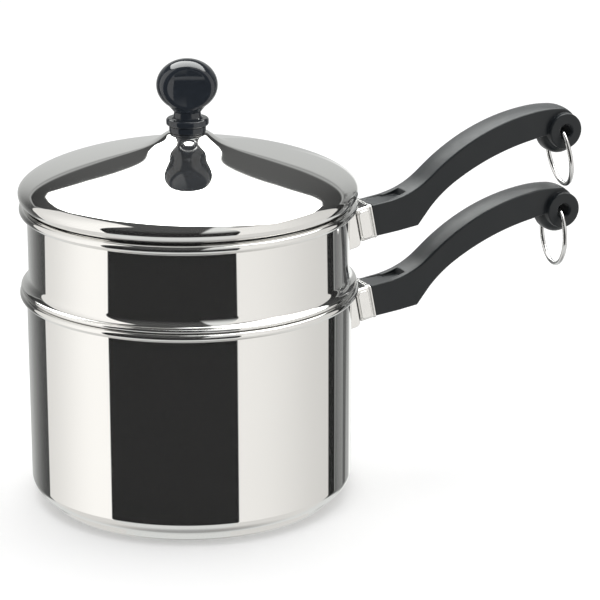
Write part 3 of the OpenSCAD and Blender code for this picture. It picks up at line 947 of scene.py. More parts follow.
@dataclass
class Lid:
    """The domed lid with its flared middle, rolled edge and plug, and the black knob."""

    insert: Insert
    over: float = 4.1
    rise: float = 7.8
    knob_seat_h: float = 28.35
    dome_fall: float = 1.512
    cone_h: float = 9.0
    cone_run: float = 60.0
    neck_flare_h: float = 4.4
    neck_flare_run: float = 6.6
    plug_h: float = 6.0
    plug_gap: float = 0.6
    edge_r: float = 1.2
    edge_in: float = 1.9
    edge_tuck: float = 0.3
    edge_turn: float = 80.0
    hole_r: float = 2.7
    seat_margin: float = 0.6
    spacer_r: float = 8.9
    spacer_h: float = 3.5
    spacer_round: float = 0.8
    collar_r: float = 10.3
    collar_h: float = 3.5
    collar_round: float = 1.1
    neck_r: float = 6.4
    neck_h: float = 3.5
    neck_foot_out: float = 1.2
    neck_foot_in: float = 0.4
    neck_foot_h: float = 0.7
    waist: float = 0.85
    ball_foot: float = -52.0
    ball_w: float = 29.6
    ball_h: float = 25.2
    ball_flats: float = 18.2
    ball_round: float = 1.7
    flats_from: float = 0.4
    flats_run: float = 2.0
    flats_open: float = 6.0
    face_hollow: float = 2.2
    hollow_r: float = 28.0
    hollow_edge: float = 0.7
    knob_turn: float = -20.5

    @property
    def edge(self) -> float:
        """Largest radius of the lid."""
        return self.insert.wall_r + self.over

    @property
    def wide_z(self) -> float:
        """Height of the lid's widest line."""
        return self.insert.rim_z + self.rise

    @property
    def seat_z(self) -> float:
        """Height of the lid's underside over the insert's rim."""
        return self.insert.rim_z + self.insert.bead_r + self.insert.rest_gap

    @property
    def knob_seat_r(self) -> float:
        """Radius of the flat under the knob."""
        return self.spacer_r + self.seat_margin

    @property
    def ball_mid(self) -> float:
        """Height of the ball's middle over the knob's foot."""
        return self.collar_h + self.neck_h + self.ball_h / 2

    def height(self, radius: np.ndarray | float) -> np.ndarray:
        """Height of the outside at a radius.

        The sum of a wide cone that dies away exponentially, a short flare round the knob that
        falls as exp(-x ** 1.5), and a dome whose height is the root of 1 - (r / edge) to the
        power of its fall. The sum is zero at the edge, and the dome fills the height up to the
        knob's seat.

        Args:
            radius: one radius or many.

        Returns:
            As many heights.
        """
        def flare(place: np.ndarray | float) -> np.ndarray:
            """Cone and short flare.

            Args:
                place: one radius or many.

            Returns:
                Their height over the level that both die away to.
            """
            out = np.maximum(place - self.knob_seat_r, 0)
            cone = self.cone_h * np.exp(-out / self.cone_run)
            return cone + self.neck_flare_h * np.exp(-(out / self.neck_flare_run) ** 1.5)

        def dome(place: np.ndarray | float) -> np.ndarray:
            """The dome's share of its full height at a radius."""
            return np.sqrt(np.maximum(0, 1 - (place / self.edge) ** self.dome_fall))

        foot = flare(self.edge)
        full = (self.knob_seat_h - flare(self.knob_seat_r) + foot) / dome(self.knob_seat_r)
        return self.wide_z + full * dome(radius) + flare(radius) - foot

    def shell(self) -> Mesh:
        """Flat, dome, rolled edge and plug, as one turned sheet with a screw hole.

        The dome's points crowd together towards the edge, where it is steepest.

        Returns:
            The closed mesh.
        """
        dome_points, edge_points, crowding = 110, 18, 1.9
        sheet = self.insert.pan.sheet
        top = float(self.height(self.knob_seat_r))
        share = np.linspace(0, 1, dome_points)
        radius = self.edge - (self.edge - self.knob_seat_r) * (1 - share) ** crowding
        turn_x = self.edge - self.edge_in
        drop = np.radians(np.linspace(0, self.edge_turn, edge_points + 1)[1:])
        hook = self.edge_in + self.edge_r * self.edge_tuck
        fall = (self.wide_z - self.seat_z - self.edge_r) / math.sin(math.radians(self.edge_turn))
        edge_x = self.edge - hook + hook * np.cos(drop)
        plug_r = self.insert.wall_r - sheet - self.plug_gap
        lip = self.insert.lip_r
        path = np.vstack([
            [[self.hole_r, top]],
            np.stack([radius, self.height(radius)], 1),
            np.stack([edge_x, self.wide_z - fall * np.sin(drop)], 1),
            [[turn_x - self.edge_r, self.seat_z]],
            arc((plug_r + lip, self.seat_z - lip), lip, 90, 180, 8),
            [[plug_r, self.seat_z - self.plug_h]],
        ])
        return turned(sheet_outline(path, -sheet))

    def spacer(self) -> Mesh:
        """The black disc between lid and knob, with rounded edges and the screw's hole.

        Returns:
            The closed mesh, a ring about the axis.
        """
        base = float(self.height(self.knob_seat_r))
        middle = self.spacer_r - self.spacer_round
        outline = np.vstack([
            [[self.hole_r, 0]],
            arc((middle, self.spacer_round), self.spacer_round, -90, 0, 8),
            arc((middle, self.spacer_h - self.spacer_round), self.spacer_round, 0, 90, 8),
            [[self.hole_r, self.spacer_h]],
        ])
        return turned(outline + [0, base], 128)

    def knob_outline(self) -> np.ndarray:
        """Half outline of the knob before its faces are cut: collar, waist and oval ball.

        Returns:
            Points of radius and height, from the foot's middle to the top's.
        """
        middle = self.collar_r - self.collar_round
        angles = np.linspace(self.ball_foot, 90, 60)
        waist_z = self.collar_h + self.neck_h * self.waist
        return np.vstack([
            [[0, 0]],
            arc((middle, self.collar_round), self.collar_round, -90, 0, 8),
            arc((middle, self.collar_h - self.collar_round), self.collar_round, 0, 90, 8),
            [[self.neck_r + self.neck_foot_out, self.collar_h]],
            [[self.neck_r + self.neck_foot_in, self.collar_h + self.neck_foot_h]],
            [[self.neck_r, waist_z]],
            heading(angles) * [self.ball_w / 2, self.ball_h / 2] + [0, self.ball_mid],
        ])

    def knob_field(self, x: np.ndarray, y: np.ndarray, z: np.ndarray) -> np.ndarray:
        """The knob as a field: a turned form between two flats, each hollowed a little.

        The flats start over the neck, and open out under it so that the collar stays round. A
        face's hollow is a large ball's.

        Args:
            x: places along the faces.
            y: places across them.
            z: heights over the knob's foot.

        Returns:
            The field in the shape that the three share.
        """
        half = self.knob_outline()
        outline = np.vstack([half, half[-2:0:-1] * [-1, 1]])
        round_form = outline_distance(outline, np.hypot(x, y), z)
        over_neck = (z - self.collar_h - self.neck_h * self.flats_from) / self.flats_run
        slab = np.abs(y) - self.ball_flats / 2 - self.flats_open * (1 - np.clip(over_neck, 0, 1))
        form = rounded(round_form, slab, self.ball_round)
        away = np.abs(y) - self.ball_flats / 2 - self.hollow_r + self.face_hollow
        hollow = np.sqrt(x * x + away * away + (z - self.ball_mid) ** 2) - self.hollow_r
        return without(form, hollow, self.hollow_edge)

    def build(self) -> None:
        """Makes the lid's shell, the spacer and the knob."""
        shell = self.shell().piece("lid_dome", POLISHED, "lid")
        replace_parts(shell, "lid_shell")
        spacer = self.spacer().piece("knob_foot", KNOB_BLACK, "lid")
        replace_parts(spacer, "knob_spacer")
        margin, deep, pitch = 1.0, 12.0, 0.4
        reach = self.ball_w / 2 + margin
        tall = self.collar_h + self.neck_h + self.ball_h + margin
        knob_box = ((-reach, -deep, -margin), (reach, deep, tall))
        form = field_surface(self.knob_field, *knob_box, pitch)
        collar_z = float(self.height(self.knob_seat_r)) + self.spacer_h
        knob = form.turned(about_z(self.knob_turn)).moved((0, 0, collar_z))
        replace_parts(knob.piece("knob", KNOB_BLACK, "lid"), "lid_knob")


@dataclass
class Handle:
    """The arched black handle with its ferrule and hanging ring.

    Its own frame starts at the middle of the front face, with x away from the pan.
    """

    pan: Pan
    gap: float = 17.9
    drop: float = 18.6
    root_tilt: float = 11.0
    root_w: float = 15.0
    root_h: float = 16.4
    front_angle: float = 7.0
    front_run: float = 9.6
    hollow_r: float = 42.0
    neck_angle: float = 39.5
    neck_run: float = 6.0
    back_r: float = 112.0
    crest_r: float = 65.0
    crest_angle: float = 6.0
    wrap_r: float = 11.2
    wrap_angle: float = 80.0
    heel_len: float = 23.8
    heel_angle: float = 50.0
    heel_rise: float = 9.4
    belly_r: float = 62.0
    belly_angle: float = 31.0
    under_angle: float = 11.0
    tail_run: float = 12.0
    boss_offset: tuple[float, float] = (1.5, -12.2)
    boss_r: float = 9.2
    boss_w: float = 20.0
    ball_r: float = 10.6
    ball_w: float = 15.0
    ball_drop: float = 2.2
    ball_edge: float = 6.0
    ball_fillet: float = 0.8
    boss_edge: float = 0.6
    boss_fillet: float = 0.35
    hole_r: float = 3.35
    mouth: float = 0.7
    grip_swell: float = 1.2
    grip_start: float = 14.0
    grip_run: float = 18.0
    root_edge: float = 0.6
    grip_edge: float = 0.25
    crown: float = 0.7
    scoop_start: float = -1.5
    scoop_end: float = 18.0
    scoop_floor: tuple[float, float] = (7.75, 9.1)
    scoop_wall: tuple[float, float] = (0.92, 0.39)
    rail_front: float = 1.6
    rail_back: float = 3.3
    notch_x: float = 9.5
    notch_run: float = 1.2
    screw_reach: float = 12.0
    pocket_r: float = 4.7
    pocket_z: float = 3.8
    ferrule_len: float = 8.6
    ferrule_wall: float = 0.9
    ferrule_proud: tuple[float, float] = (0.5, 0.4)
    ferrule_corner: float = 1.6
    ferrule_edge: float = 0.55
    lip_t: float = 1.3
    lip_proud: tuple[float, float] = (0.4, 0.35)
    lip_corner: float = 1.9
    lip_edge: float = 0.45
    lip_fillet: float = 0.25
    panel_back: float = 0.8
    panel_margin: tuple[float, float] = (1.25, 1.3)
    panel_corner: float = 2.0
    panel_proud: float = 0.5
    seam: float = 0.4
    plate: float = 1.2
    bracket_w: float = 14.8
    cheek_drop: float = 2.4
    cheek_r: float = 2.5
    fold_r: float = 1.7
    pad_drop: float = 8.0
    pad_h: float = 13.0
    pad_corner: float = 1.0
    tongue_t: float = 2.4
    tongue_w: float = 9.0
    tongue_in: float = 1.0
    wire: float = 2.3
    ring_r: float = 16.2
    ring_turn: float = 9.0
    ring_crown: float = 2.0
    ring_joint: float = 0.3
    joint_at: float = 315.0
    lean_r: float = 11.2
    lean_gap: float = 0.3
    lean_skew: float = 0.3

    def back_legs(self) -> list[np.ndarray]:
        """The back's side view.

        Returns:
            Its parts in order: front, hollow, neck, arch, crest and turn over the boss.
        """
        start = along((0, 0), 90 + self.root_tilt, self.root_h / 2)
        front = along(start, self.front_angle, self.front_run)
        hollow = bend(front, self.hollow_r, self.front_angle, self.neck_angle)
        neck = along(hollow[-1], self.neck_angle, self.neck_run)
        arch = bend(neck, self.back_r, self.neck_angle, self.crest_angle, 40)
        crest = bend(arch[-1], self.crest_r, self.crest_angle, -self.crest_angle)
        wrap = bend(crest[-1], self.wrap_r, -self.crest_angle, -self.wrap_angle)
        return [start[None], front[None], hollow, neck[None], arch, crest, wrap]

    def underside(self) -> np.ndarray:
        """The underside's side view: flat heel, its corner, belly, long arch and tail.

        Returns:
            Its points, from the root to the boss.
        """
        start = along((0, 0), self.root_tilt - 90, self.root_h / 2)
        heel = along(start, self.root_tilt - 5, self.heel_len)
        top = along(heel, self.heel_angle, self.heel_rise)
        belly = bend(top, self.belly_r, self.heel_angle, self.belly_angle)
        under = bend(belly[-1], self.back_r + 14, self.belly_angle, self.under_angle, 40)
        tail = along(under[-1], self.under_angle, self.tail_run)
        return np.vstack([start, heel, top, belly, under, tail])

    def hole(self) -> np.ndarray:
        """Middle of the cross hole, a fixed step from the end of the crest."""
        return self.back_legs()[-2][-1] + np.array(self.boss_offset)

    def barrel(
        self, across: np.ndarray, y: np.ndarray, radius: float, width: float, edge: float
    ) -> np.ndarray:
        """A short cylinder round Y with rounded edges, as a field.

        Args:
            across: distance from its axis.
            y: place along the axis.
            radius: its radius.
            width: its full width.
            edge: radius of its edges.

        Returns:
            The field.
        """
        return rounded(across - radius, np.abs(y) - width / 2, edge)

    def grip_field(self, x: np.ndarray, y: np.ndarray, z: np.ndarray) -> np.ndarray:
        """The handle as a field.

        The side view's outline and the width overlap with rounded edges, whose radius grows
        from the root to the grip. The back is crowned: the outline shrinks with the square of
        the distance from the middle. A ball and the ring's boss are joined to the end, and
        the thumb scoop, the cross hole and the screw's pocket are taken away.

        Args:
            x: places along the handle.
            y: places across it.
            z: heights.

        Returns:
            The field in the shape that the three share.
        """
        outline = np.vstack([*self.back_legs(), self.underside()[::-1]])
        side_view = outline_distance(outline, x, z)
        hole_x, hole_z = self.hole()
        share = np.clip(x / hole_x, 0, 1)
        width = self.root_w + self.grip_swell * np.sin(np.pi * share) - share ** 6
        grip = np.clip((x - self.grip_start) / self.grip_run, 0, 1)
        crown = self.crown * grip * (2 * y / width) ** 2
        edge = self.root_edge + self.grip_edge * grip
        form = rounded(side_view + crown, np.abs(y) - width / 2, edge)
        across = np.hypot(x - hole_x, z - hole_z)
        across_ball = np.hypot(x - hole_x, z - hole_z + self.ball_drop)
        ball = self.barrel(across_ball, y, self.ball_r, self.ball_w, self.ball_edge)
        boss = self.barrel(across, y, self.boss_r, self.boss_w, self.boss_edge)
        form = joined(joined(form, ball, self.ball_fillet), boss, self.boss_fillet)
        low, high = self.scoop_floor
        scoop_run = self.scoop_end - self.scoop_start
        floor = low + (high - low) * (x - self.scoop_start) / scoop_run - z
        end = (x - self.scoop_end) * self.scoop_wall[0] - (z - high) * self.scoop_wall[1]
        widen = np.clip((x - self.notch_x) / self.notch_run, 0, 1)
        rail = self.rail_front + (self.rail_back - self.rail_front) * widen
        trough = rounded(rounded(floor, end, FULL), np.abs(y) - self.root_w / 2 + rail, FULL)
        form = without(form, trough, SOFT)
        mouth = np.abs(y) - self.boss_w / 2 + self.mouth
        bore = across - self.hole_r - np.maximum(mouth, 0)
        form = without(form, bore, CRISP)
        c, s = heading(self.root_tilt)
        reach = x * c + z * s - self.screw_reach
        above = z * c - x * s + self.pocket_z
        pocket = rounded(np.hypot(reach, y) - self.pocket_r, above, SOFT)
        return without(form, pocket, SOFT)

    def ferrule_field(self, x: np.ndarray, y: np.ndarray, z: np.ndarray) -> np.ndarray:
        """The ferrule as a field: a hollow box with a lip and two raised panels.

        Its frame slopes with the root. The box is open towards the pan, the lip is at the
        handle, and the panels are the two ends of one block across the box.

        Args:
            x: places along the root.
            y: places across it.
            z: places square to both.

        Returns:
            The field in the shape that the three share.
        """
        half_w = self.root_w / 2 + self.ferrule_proud[0]
        half_h = self.root_h / 2 + self.ferrule_proud[1]

        def prism(
            wide: float, tall: float, corner: float, start: float, end: float, edge: float
        ) -> np.ndarray:
            """A box with rounded long edges, from start to end along x."""
            section = rounded(np.abs(y) - wide, np.abs(z) - tall, corner)
            return rounded(section, np.maximum(start - x, x - end), edge)

        form = prism(half_w, half_h, self.ferrule_corner, -self.ferrule_len, 0, self.ferrule_edge)
        lip_w, lip_h = half_w + self.lip_proud[0], half_h + self.lip_proud[1]
        lip = prism(lip_w, lip_h, self.lip_corner, -self.lip_t, 0, self.lip_edge)
        form = joined(form, lip, self.lip_fillet)
        middle = -self.ferrule_len / 2 - self.panel_back
        margin_x, margin_z = self.panel_margin
        long_side = np.abs(x - middle) - self.ferrule_len / 2 + margin_x
        panel = rounded(long_side, np.abs(z) - half_h + margin_z, self.panel_corner)
        raised = rounded(panel, np.abs(y) - half_w - self.panel_proud, FULL)
        form = joined(form, raised, CRISP)
        wall = self.ferrule_wall
        corner, front = self.ferrule_corner - HAIR, -2 * self.ferrule_len
        inside = prism(half_w - wall, half_h - wall, corner, front, -wall, HAIR)
        return without(form, inside, HAIR)

    def bracket_field(self, wall_r: float) -> Field:
        """The folded bracket on a wall of some radius.

        A channel of two cheeks under a web, with rounded folds and a round lower front corner,
        a welded pad that follows the wall, and the tongue that runs into the ferrule.

        Args:
            wall_r: the wall's radius.

        Returns:
            The bracket's field in the handle's frame.
        """
        c, s = heading(self.root_tilt)
        half_w, plate = self.bracket_w / 2, self.plate
        high, low = self.root_h / 2, -self.root_h / 2 - self.cheek_drop
        nose = -self.ferrule_len - self.seam
        front_x = self.pan.wall_r + self.gap

        def shape(x: np.ndarray, y: np.ndarray, z: np.ndarray) -> np.ndarray:
            """The bracket as a field.

            Args:
                x: places along the handle.
                y: places across it.
                z: heights.

            Returns:
                The field in the shape that the three share.
            """
            reach, rise = x * c + z * s, z * c - x * s
            across = np.abs(y)
            fold = rounded(across - half_w, rise - high, self.fold_r)
            front = rounded(reach - nose, low - rise, self.cheek_r)
            inside = rounded(across - half_w + plate, rise - high + plate, self.fold_r - plate / 2)
            form = without(rounded(fold, front, EASED), inside, SOFT)
            wall = np.hypot(x + front_x, y) - wall_r
            tall = np.abs(z + self.pad_drop - self.pad_h / 2) - self.pad_h / 2
            face = rounded(across - half_w + plate / 2, tall, self.pad_corner)
            pad = rounded(face, wall - plate, EASED)
            tongue = rounded(across - self.tongue_w / 2, np.abs(rise) - self.tongue_t / 2, EASED)
            form = joined(form, rounded(tongue, reach + self.tongue_in, SOFT), CRISP)
            return rounded(joined(form, pad, FULL), -wall, HAIR)

        return shape

    def ring(self, lean: float) -> Mesh:
        """The hanging ring through the cross hole, askew and leaning outwards.

        Args:
            lean: how far it leans from hanging straight down, in degrees.

        Returns:
            The closed mesh.
        """
        hole_x, hole_z = self.hole()
        loop = wire_loop(self.ring_r, self.wire, self.joint_at, self.ring_joint)
        hung = loop.moved((0, 0, self.ring_crown - self.ring_r))
        askew = hung.turned(about_z(-self.ring_turn)).turned(about_y(lean))
        return askew.moved((hole_x, 0, hole_z))

    def seat_lean(self, rise: float) -> float:
        """Lean of the upper ring, which rests on the lower handle's rounded end.

        Cosine rule in the triangle of the upper hole, the lower hole and the ring's lowest
        point, with the rise, the ring's reach and the rest's radius as its sides.

        Args:
            rise: height of the upper handle over the lower.

        Returns:
            The angle from hanging straight down, in degrees.
        """
        reach = 2 * self.ring_r - self.ring_crown
        skew = self.lean_skew * self.root_w / 4 * math.sin(math.radians(self.ring_turn))
        seat = self.lean_r + self.wire / 2 + self.lean_gap + skew
        cosine = (rise ** 2 + reach ** 2 - seat ** 2) / (2 * rise * reach)
        return math.degrees(math.acos(min(1.0, cosine)))

    def build(self, insert: Insert) -> None:
        """Makes the handle, ferrule, bracket and ring of the saucepan and of the insert.

        Args:
            insert: the insert pan, whose handle sits higher on a narrower wall.
        """
        grip_pitch, ferrule_pitch, bracket_pitch = 0.5, 0.2, 0.3
        high = self.hole() + [self.ball_r + 3, self.ball_r + 6]
        grip_box = ((-1, -11, -11), (high[0], 11, high[1]))
        grip = field_surface(self.grip_field, *grip_box, grip_pitch)
        edge = self.root_h / 2 + 1.5
        ferrule_box = ((-self.ferrule_len - 0.6, -9.4, -edge), (0.6, 9.4, edge))
        straight = field_surface(self.ferrule_field, *ferrule_box, ferrule_pitch)
        ferrule = straight.turned(about_y(self.root_tilt))
        bracket_box = ((-21, -8.4, -18), (0, 8.4, 9))
        front_x = self.pan.wall_r + self.gap
        for owner, body, hook, level, lean, wall_r in (
            ("pan", "saucepan", "lower_ring", 0.0, 0.0, self.pan.wall_r),
            ("insert", "insert", "upper_ring", insert.rise, self.seat_lean(insert.rise),
             insert.wall_r),
        ):
            place = (front_x, 0, self.pan.rim_z - self.drop + level)
            bracket = field_surface(self.bracket_field(wall_r), *bracket_box, bracket_pitch)
            made = bracket.moved(place).piece(f"{owner}_bracket_channel", PRESSED, body)
            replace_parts(made, f"{owner}_bracket")
            made = grip.moved(place).piece(f"{owner}_grip", HANDLE_BLACK, body)
            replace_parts(made, f"{owner}_handle")
            made = ferrule.moved(place).piece(f"{owner}_ferrule_shell", PRESSED, body)
            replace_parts(made, f"{owner}_ferrule")
            made = self.ring(lean).moved(place).piece(f"{owner}_hanging_ring", WIRE, hook)
            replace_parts(made, f"{owner}_ring")


@dataclass
class CadPieces:
    """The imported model's own pieces that stay, each with its finish."""

    nodes: dict[str, bpy.types.Object]
    finishes: dict[str, Finish] = field(default_factory=lambda: {
        "base_core": CORE,
        "pan_handle_screw": FASTENER,
        "pan_handle_washer": FASTENER,
        "insert_handle_screw": FASTENER,
        "insert_handle_washer": FASTENER,
        "knob_screw": FASTENER,
        "knob_washer": FASTENER,
        "knob_nut": BRASS,
    })

    def dress(self) -> None:
        """Gives each piece its finish's material."""
        for name, finish in self.finishes.items():
            node = self.nodes[name]
            node.data.materials.clear()
            node.data.materials.append(finish.material())
            LOG.info("%s: kept, %s", name, finish.name)


# Studio


@dataclass(frozen=True)
class Sky:
    """Sockets that say where a mirror's ray points.

    The sky is laid out flat round the zenith: a direction's place on this chart is its zenith
    angle times (sin azimuth, -cos azimuth), so the camera lies below the middle.
    """

    chart: bpy.types.NodeSocket
    zenith: bpy.types.NodeSocket
    azimuth: bpy.types.NodeSocket
    behind: bpy.types.NodeSocket


@dataclass
class Studio:
    """Camera, pale floor, one overhead softbox and the panels that polished steel mirrors.

    Directions are seen from the object, in degrees: azimuth 0 towards the camera and positive
    to its right, and zenith angle 0 straight up. Polygons are anticlockwise on the sky's chart.
    A fade holds the two values between which it runs, and what it gives at each.
    """

    camera_at: tuple[float, float, float] = (-0.49397, -1.1612, 0.4961)
    camera_pitch: float = 17.53
    lens: float = 161.66
    sensor: float = 36.0
    clip: tuple[float, float] = (0.05, 50.0)
    floor_half: float = 6.0
    floor_tone: float = 0.9
    floor_glow: float = 0.16
    lamp_at: tuple[float, float, float] = (0.1, 0.2, 1.5)
    lamp_side: float = 1.4
    lamp_power: float = 8.0
    soft_tone: float = 0.85
    sweep_left: Fade = (122, 178, 0.06, 0.62)
    sweep_right: Fade = (118, 176, 0.10, 0.56)
    fold_scale: float = 0.07
    fold_fade: Fade = (0.38, 0.56, 0.35, 1.05)
    fold_end: Fade = (150, 160, 0, 1)
    window: Polygon = ((8, 92), (34, 90), (38, 112), (8, 122))
    window_soft: float = 4.0
    gaps: tuple[Polygon, ...] = (
        ((-180, 20), (-180, -180), (180, -180), (180, 20)),
        ((0, 70.5), (-14, 70), (-20, 67.3), (-28.7, 63.2), (-38.6, 58), (-56, 43.5), (-37, 15),
         (0, 15)),
        ((0, 15), (47, 15), (64, 28), (60, 41), (45, 50.5), (29.6, 58.8), (19.6, 63.8),
         (12, 67.6), (6, 69.6), (0, 70.5)),
        ((40, 18), (170, 86), (170, 126), (55, 44.5)),
    )
    gap_soft: float = 0.7
    gap_lines: tuple[tuple[float, float], ...] = ((2.4, 0.30), (1.2, 0.42), (0.4, 0.27))
    gap_tone: float = 0.008
    high_gap_tone: float = 0.06
    high_gap_span: tuple[float, float] = (40, 85)
    back_gap_tone: float = 0.085
    back_gap_span: tuple[float, float] = (148, 175)
    strip: Polygon = ((11, -12), (14.5, -104), (80, -104), (30, -12))
    strip_soft: float = 1.5
    strip_tone: float = 0.78
    strip_span: tuple[float, float] = (45, 92)
    left_card: Polygon = ((-24, -15), (-27, 0), (-40, 30), (-160, 92), (-160, -103))
    left_fade: Fade = (-121, -68, 0.78, 1.06)
    right_card: Polygon = ((18, -25), (116, -160), (170, -160), (170, 91), (47, 26))
    right_fade: Fade = (38, 119, 0.9, 0.68)
    card_soft: float = 0.8
    grey_patch: Polygon = ((20, -12), (22, -24), (35, -20), (36, -12))
    patch_soft: float = 4.0
    patch_tone: float = 0.25
    overhead: Polygon = (
        (-24, 11), (-12, 1), (0, -6), (28, -12), (45, -12), (46, 22), (41, 30), (35.3, 38.2),
        (27.7, 45), (20.2, 49.6), (11, 53.2), (-17, 57.9), (-26, 56.6), (-29.5, 53), (-32.5, 46),
        (-35.5, 36), (-35, 28),
    )
    box_soft: float = 1.0
    box_tone: float = 5.0
    horizon: Fade = (117, 122, 0, 1)
    ground: Fade = (140, 170, 0.72, 0.35)
    cool: tuple[float, float, float] = (0.985, 1.0, 0.985)
    cream: tuple[float, float, float] = (1.0, 0.985, 0.955)

    def camera(self) -> None:
        """Adds the camera at the photographed angle."""
        data = bpy.data.cameras.new("camera")
        data.lens = self.lens
        data.sensor_width = self.sensor
        data.clip_start, data.clip_end = self.clip
        made = bpy.data.objects.new("camera", data)
        made.location = self.camera_at
        made.rotation_euler = (
            math.radians(90 - self.camera_pitch), 0, math.radians(-CAMERA_TURN)
        )
        bpy.context.scene.collection.objects.link(made)
        bpy.context.scene.camera = made

    def floor(self) -> None:
        """Adds the pale floor: diffuse, a little brighter to the camera, unseen by mirrors."""
        half = self.floor_half
        data = bpy.data.meshes.new("floor")
        corners = [(-half, -half, 0), (half, -half, 0), (half, half, 0), (-half, half, 0)]
        data.from_pydata(corners, [], [(0, 1, 2, 3)])
        made = bpy.data.objects.new("floor", data)
        made.visible_glossy = False
        bpy.context.scene.collection.objects.link(made)
        paint = bpy.data.materials.new("floor_paint")
        paint.use_nodes = True
        graph = Graph(paint.node_tree)
        shader = graph.tree.nodes["Principled BSDF"]
        shader.inputs["Base Color"].default_value = (*[self.floor_tone] * 3, 1)
        shader.inputs["Roughness"].default_value = 0.9
        shader.inputs["Specular IOR Level"].default_value = 0.0
        shader.inputs["Emission Color"].default_value = (1, 1, 1, 1)
        path = graph.add("ShaderNodeLightPath")
        glow = graph.math("MULTIPLY", path.outputs["Is Camera Ray"], self.floor_glow)
        graph.link(glow, shader.inputs["Emission Strength"])
        data.materials.append(paint)

    def sky(self, graph: Graph) -> Sky:
        """Works out where a ray points, from the camera's side of the object.

        Args:
            graph: the world's graph.

        Returns:
            The sockets of its place on the chart, its angles, and how far behind it points.
        """
        place = graph.add("ShaderNodeTexCoord").outputs["Generated"]
        turn = graph.add("ShaderNodeVectorRotate", rotation_type="Z_AXIS")
        turn.inputs["Angle"].default_value = math.radians(CAMERA_TURN)
        graph.link(place, turn.inputs["Vector"])
        parts = graph.add("ShaderNodeSeparateXYZ")
        graph.link(turn.outputs[0], parts.inputs[0])
        right, away, up = parts.outputs
        level = graph.math("SUBTRACT", 1.0001, graph.math("MULTIPLY", up, up))
        degree = 180 / math.pi
        zenith = graph.math("MULTIPLY", graph.math("ARCCOSINE", up), degree)
        reach = graph.math("DIVIDE", zenith, graph.math("SQRT", level))
        chart = graph.add("ShaderNodeCombineXYZ")
        graph.link(graph.math("MULTIPLY", right, reach), chart.inputs["X"])
        graph.link(graph.math("MULTIPLY", away, reach), chart.inputs["Y"])
        chart.inputs["Z"].default_value = 1.0
        toward = graph.math("MULTIPLY", away, -1.0)
        azimuth = graph.math("MULTIPLY", graph.math("ARCTAN2", right, toward), degree)
        return Sky(chart.outputs[0], zenith, azimuth, graph.math("ABSOLUTE", azimuth))

    def depth(self, graph: Graph, sky: Sky, polygon: Polygon) -> bpy.types.NodeSocket:
        """How deep a direction lies inside a convex polygon on the chart, in degrees.

        It is the least over the polygon's sides of the distance to the side's left, which is
        the dot product of the side's normal with the direction's place less the side's start.
        The chart's third value is 1, so the normal's third number takes the start off.

        Args:
            graph: the world's graph.
            sky: where the ray points.
            polygon: the corners, anticlockwise.

        Returns:
            The depth's socket, negative outside.
        """
        least = None
        for start, end in zip(polygon, polygon[1:] + polygon[:1]):
            run_x, run_y = end[0] - start[0], end[1] - start[1]
            length = math.hypot(run_x, run_y)
            normal = (-run_y / length, run_x / length)
            offset = -normal[0] * start[0] - normal[1] * start[1]
            dot = graph.add("ShaderNodeVectorMath", operation="DOT_PRODUCT")
            dot.inputs[1].default_value = (*normal, offset)
            graph.link(sky.chart, dot.inputs[0])
            inside = dot.outputs["Value"]
            least = inside if least is None else graph.math("MINIMUM", least, inside)
        return least

    def paint(
        self, graph: Graph, under: object, over: object, depth: bpy.types.NodeSocket,
        soft: float, grow: float = 0.0
    ) -> bpy.types.NodeSocket:
        """Lays a tone over another inside a polygon.

        Args:
            graph: the world's graph.
            under: the tone outside.
            over: the tone inside.
            depth: how deep a direction lies inside, in degrees.
            soft: half the width of the edge's fade.
            grow: how far the polygon is grown.

        Returns:
            The tone's socket.
        """
        share = graph.between(depth, -grow - soft, -grow + soft, 0, 1)
        return graph.blend(share, under, over)

    def sweep(self, graph: Graph, sky: Sky) -> bpy.types.NodeSocket:
        """The grey sweep behind: lighter to the back, creased on the right, with a window.

        Args:
            graph: the world's graph.
            sky: where the ray points.

        Returns:
            The tone's socket.
        """
        folds = graph.noise(sky.chart, self.fold_scale, detail=3.0)
        left = graph.between(sky.behind, *self.sweep_left)
        right = graph.between(sky.behind, *self.sweep_right)
        crease = graph.between(folds, *self.fold_fade)
        crease = graph.blend(graph.between(sky.behind, *self.fold_end), crease, 1.0)
        right = graph.math("MULTIPLY", right, crease)
        tone = graph.blend(graph.between(sky.azimuth, -1, 1, 0, 1), left, right)
        return self.paint(graph, tone, 1.0, self.depth(graph, sky, self.window), self.window_soft)

    def with_gaps(self, graph: Graph, sky: Sky, tone: bpy.types.NodeSocket) -> bpy.types.NodeSocket:
        """Lays the dark gaps over the sweep, each inside a few thin outlines.

        Args:
            graph: the world's graph.
            sky: where the ray points.
            tone: the sweep's tone.

        Returns:
            The tone's socket.
        """
        inside = self.depth(graph, sky, self.gaps[0])
        for gap in self.gaps[1:]:
            inside = graph.math("MAXIMUM", inside, self.depth(graph, sky, gap))
        for grow, line in self.gap_lines:
            tone = self.paint(graph, tone, line, inside, self.gap_soft, grow)
        high = graph.between(sky.zenith, *self.high_gap_span, self.high_gap_tone, self.gap_tone)
        back = graph.between(sky.behind, *self.back_gap_span, 0, 1)
        deep = graph.blend(back, high, self.back_gap_tone)
        return self.paint(graph, tone, deep, inside, self.gap_soft)

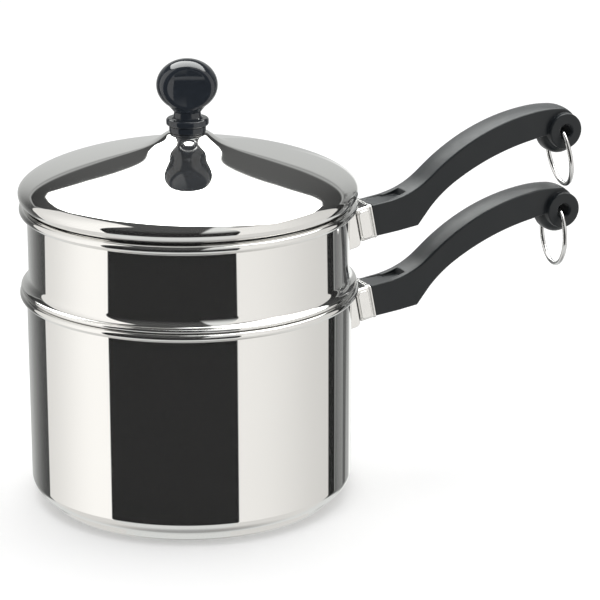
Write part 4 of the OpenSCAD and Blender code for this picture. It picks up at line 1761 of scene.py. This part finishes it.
    def panels(self, graph: Graph) -> tuple[bpy.types.NodeSocket, bpy.types.NodeSocket]:
        """The room that mirrors see, painted on the sky from back to front.

        The order is grey sweep, dark gaps, strip, cards, grey patch, softbox and ground. The
        cards are cream, and the rest is a little cool.

        Args:
            graph: the world's graph.

        Returns:
            The sockets of the brightness and of the tint.
        """
        sky = self.sky(graph)
        tone = self.with_gaps(graph, sky, self.sweep(graph, sky))
        strip = graph.between(sky.zenith, *self.strip_span, self.strip_tone, self.gap_tone)
        left_card = self.depth(graph, sky, self.left_card)
        right_card = self.depth(graph, sky, self.right_card)
        for over, depth, soft in (
            (strip, self.depth(graph, sky, self.strip), self.strip_soft),
            (graph.between(sky.azimuth, *self.left_fade), left_card, self.card_soft),
            (graph.between(sky.azimuth, *self.right_fade), right_card, self.card_soft),
            (self.patch_tone, self.depth(graph, sky, self.grey_patch), self.patch_soft),
            (self.box_tone, self.depth(graph, sky, self.overhead), self.box_soft),
        ):
            tone = self.paint(graph, tone, over, depth, soft)
        below = graph.between(sky.zenith, *self.ground)
        tone = graph.blend(graph.between(sky.zenith, *self.horizon), tone, below)
        cards = graph.math("MAXIMUM", left_card, right_card)
        share = graph.between(cards, -1.0, 1.0, 0, 1)
        return tone, graph.tint(share, self.cool, self.cream)

    def world(self) -> None:
        """Sets the world: white to the camera, even for soft surfaces, panels for mirrors."""
        world = bpy.data.worlds.new("studio")
        bpy.context.scene.world = world
        world.use_nodes = True
        graph = Graph(world.node_tree)
        path = graph.add("ShaderNodeLightPath")
        tone, tint = self.panels(graph)
        seen = graph.blend(path.outputs["Is Glossy Ray"], self.soft_tone, tone)
        seen = graph.blend(path.outputs["Is Camera Ray"], seen, 1.0)
        back = graph.tree.nodes["Background"]
        colour = graph.tint(path.outputs["Is Glossy Ray"], (1, 1, 1), tint)
        graph.link(colour, back.inputs["Color"])
        graph.link(seen, back.inputs["Strength"])

    def softbox(self) -> None:
        """Adds the overhead softbox that gives the floor its shadow."""
        data = bpy.data.lights.new("softbox", "AREA")
        data.shape = "RECTANGLE"
        data.size = self.lamp_side
        data.size_y = self.lamp_side
        data.energy = self.lamp_power
        made = bpy.data.objects.new("softbox", data)
        made.location = self.lamp_at
        made.visible_glossy = False
        bpy.context.scene.collection.objects.link(made)

    def build(self) -> None:
        """Sets up the camera, the floor, the world and the light."""
        self.camera()
        self.floor()
        self.world()
        self.softbox()
        bpy.context.scene.view_settings.view_transform = "Standard"


def corners(box: tuple[Sequence[float], Sequence[float]]) -> list[list[float]]:
    """A box's two corners as plain lists of numbers."""
    return [[float(v) for v in corner] for corner in box]


def main() -> None:
    """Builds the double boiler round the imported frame."""
    logging.basicConfig(level=logging.INFO, format="%(name)s: %(message)s")
    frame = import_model()
    pan = Pan()
    insert = Insert(pan)
    pan.build()
    insert.build()
    Lid(insert).build()
    Handle(pan).build(insert)
    CadPieces(frame["nodes"]).dress()
    Studio().build()


if __name__ == "__main__":
    main()
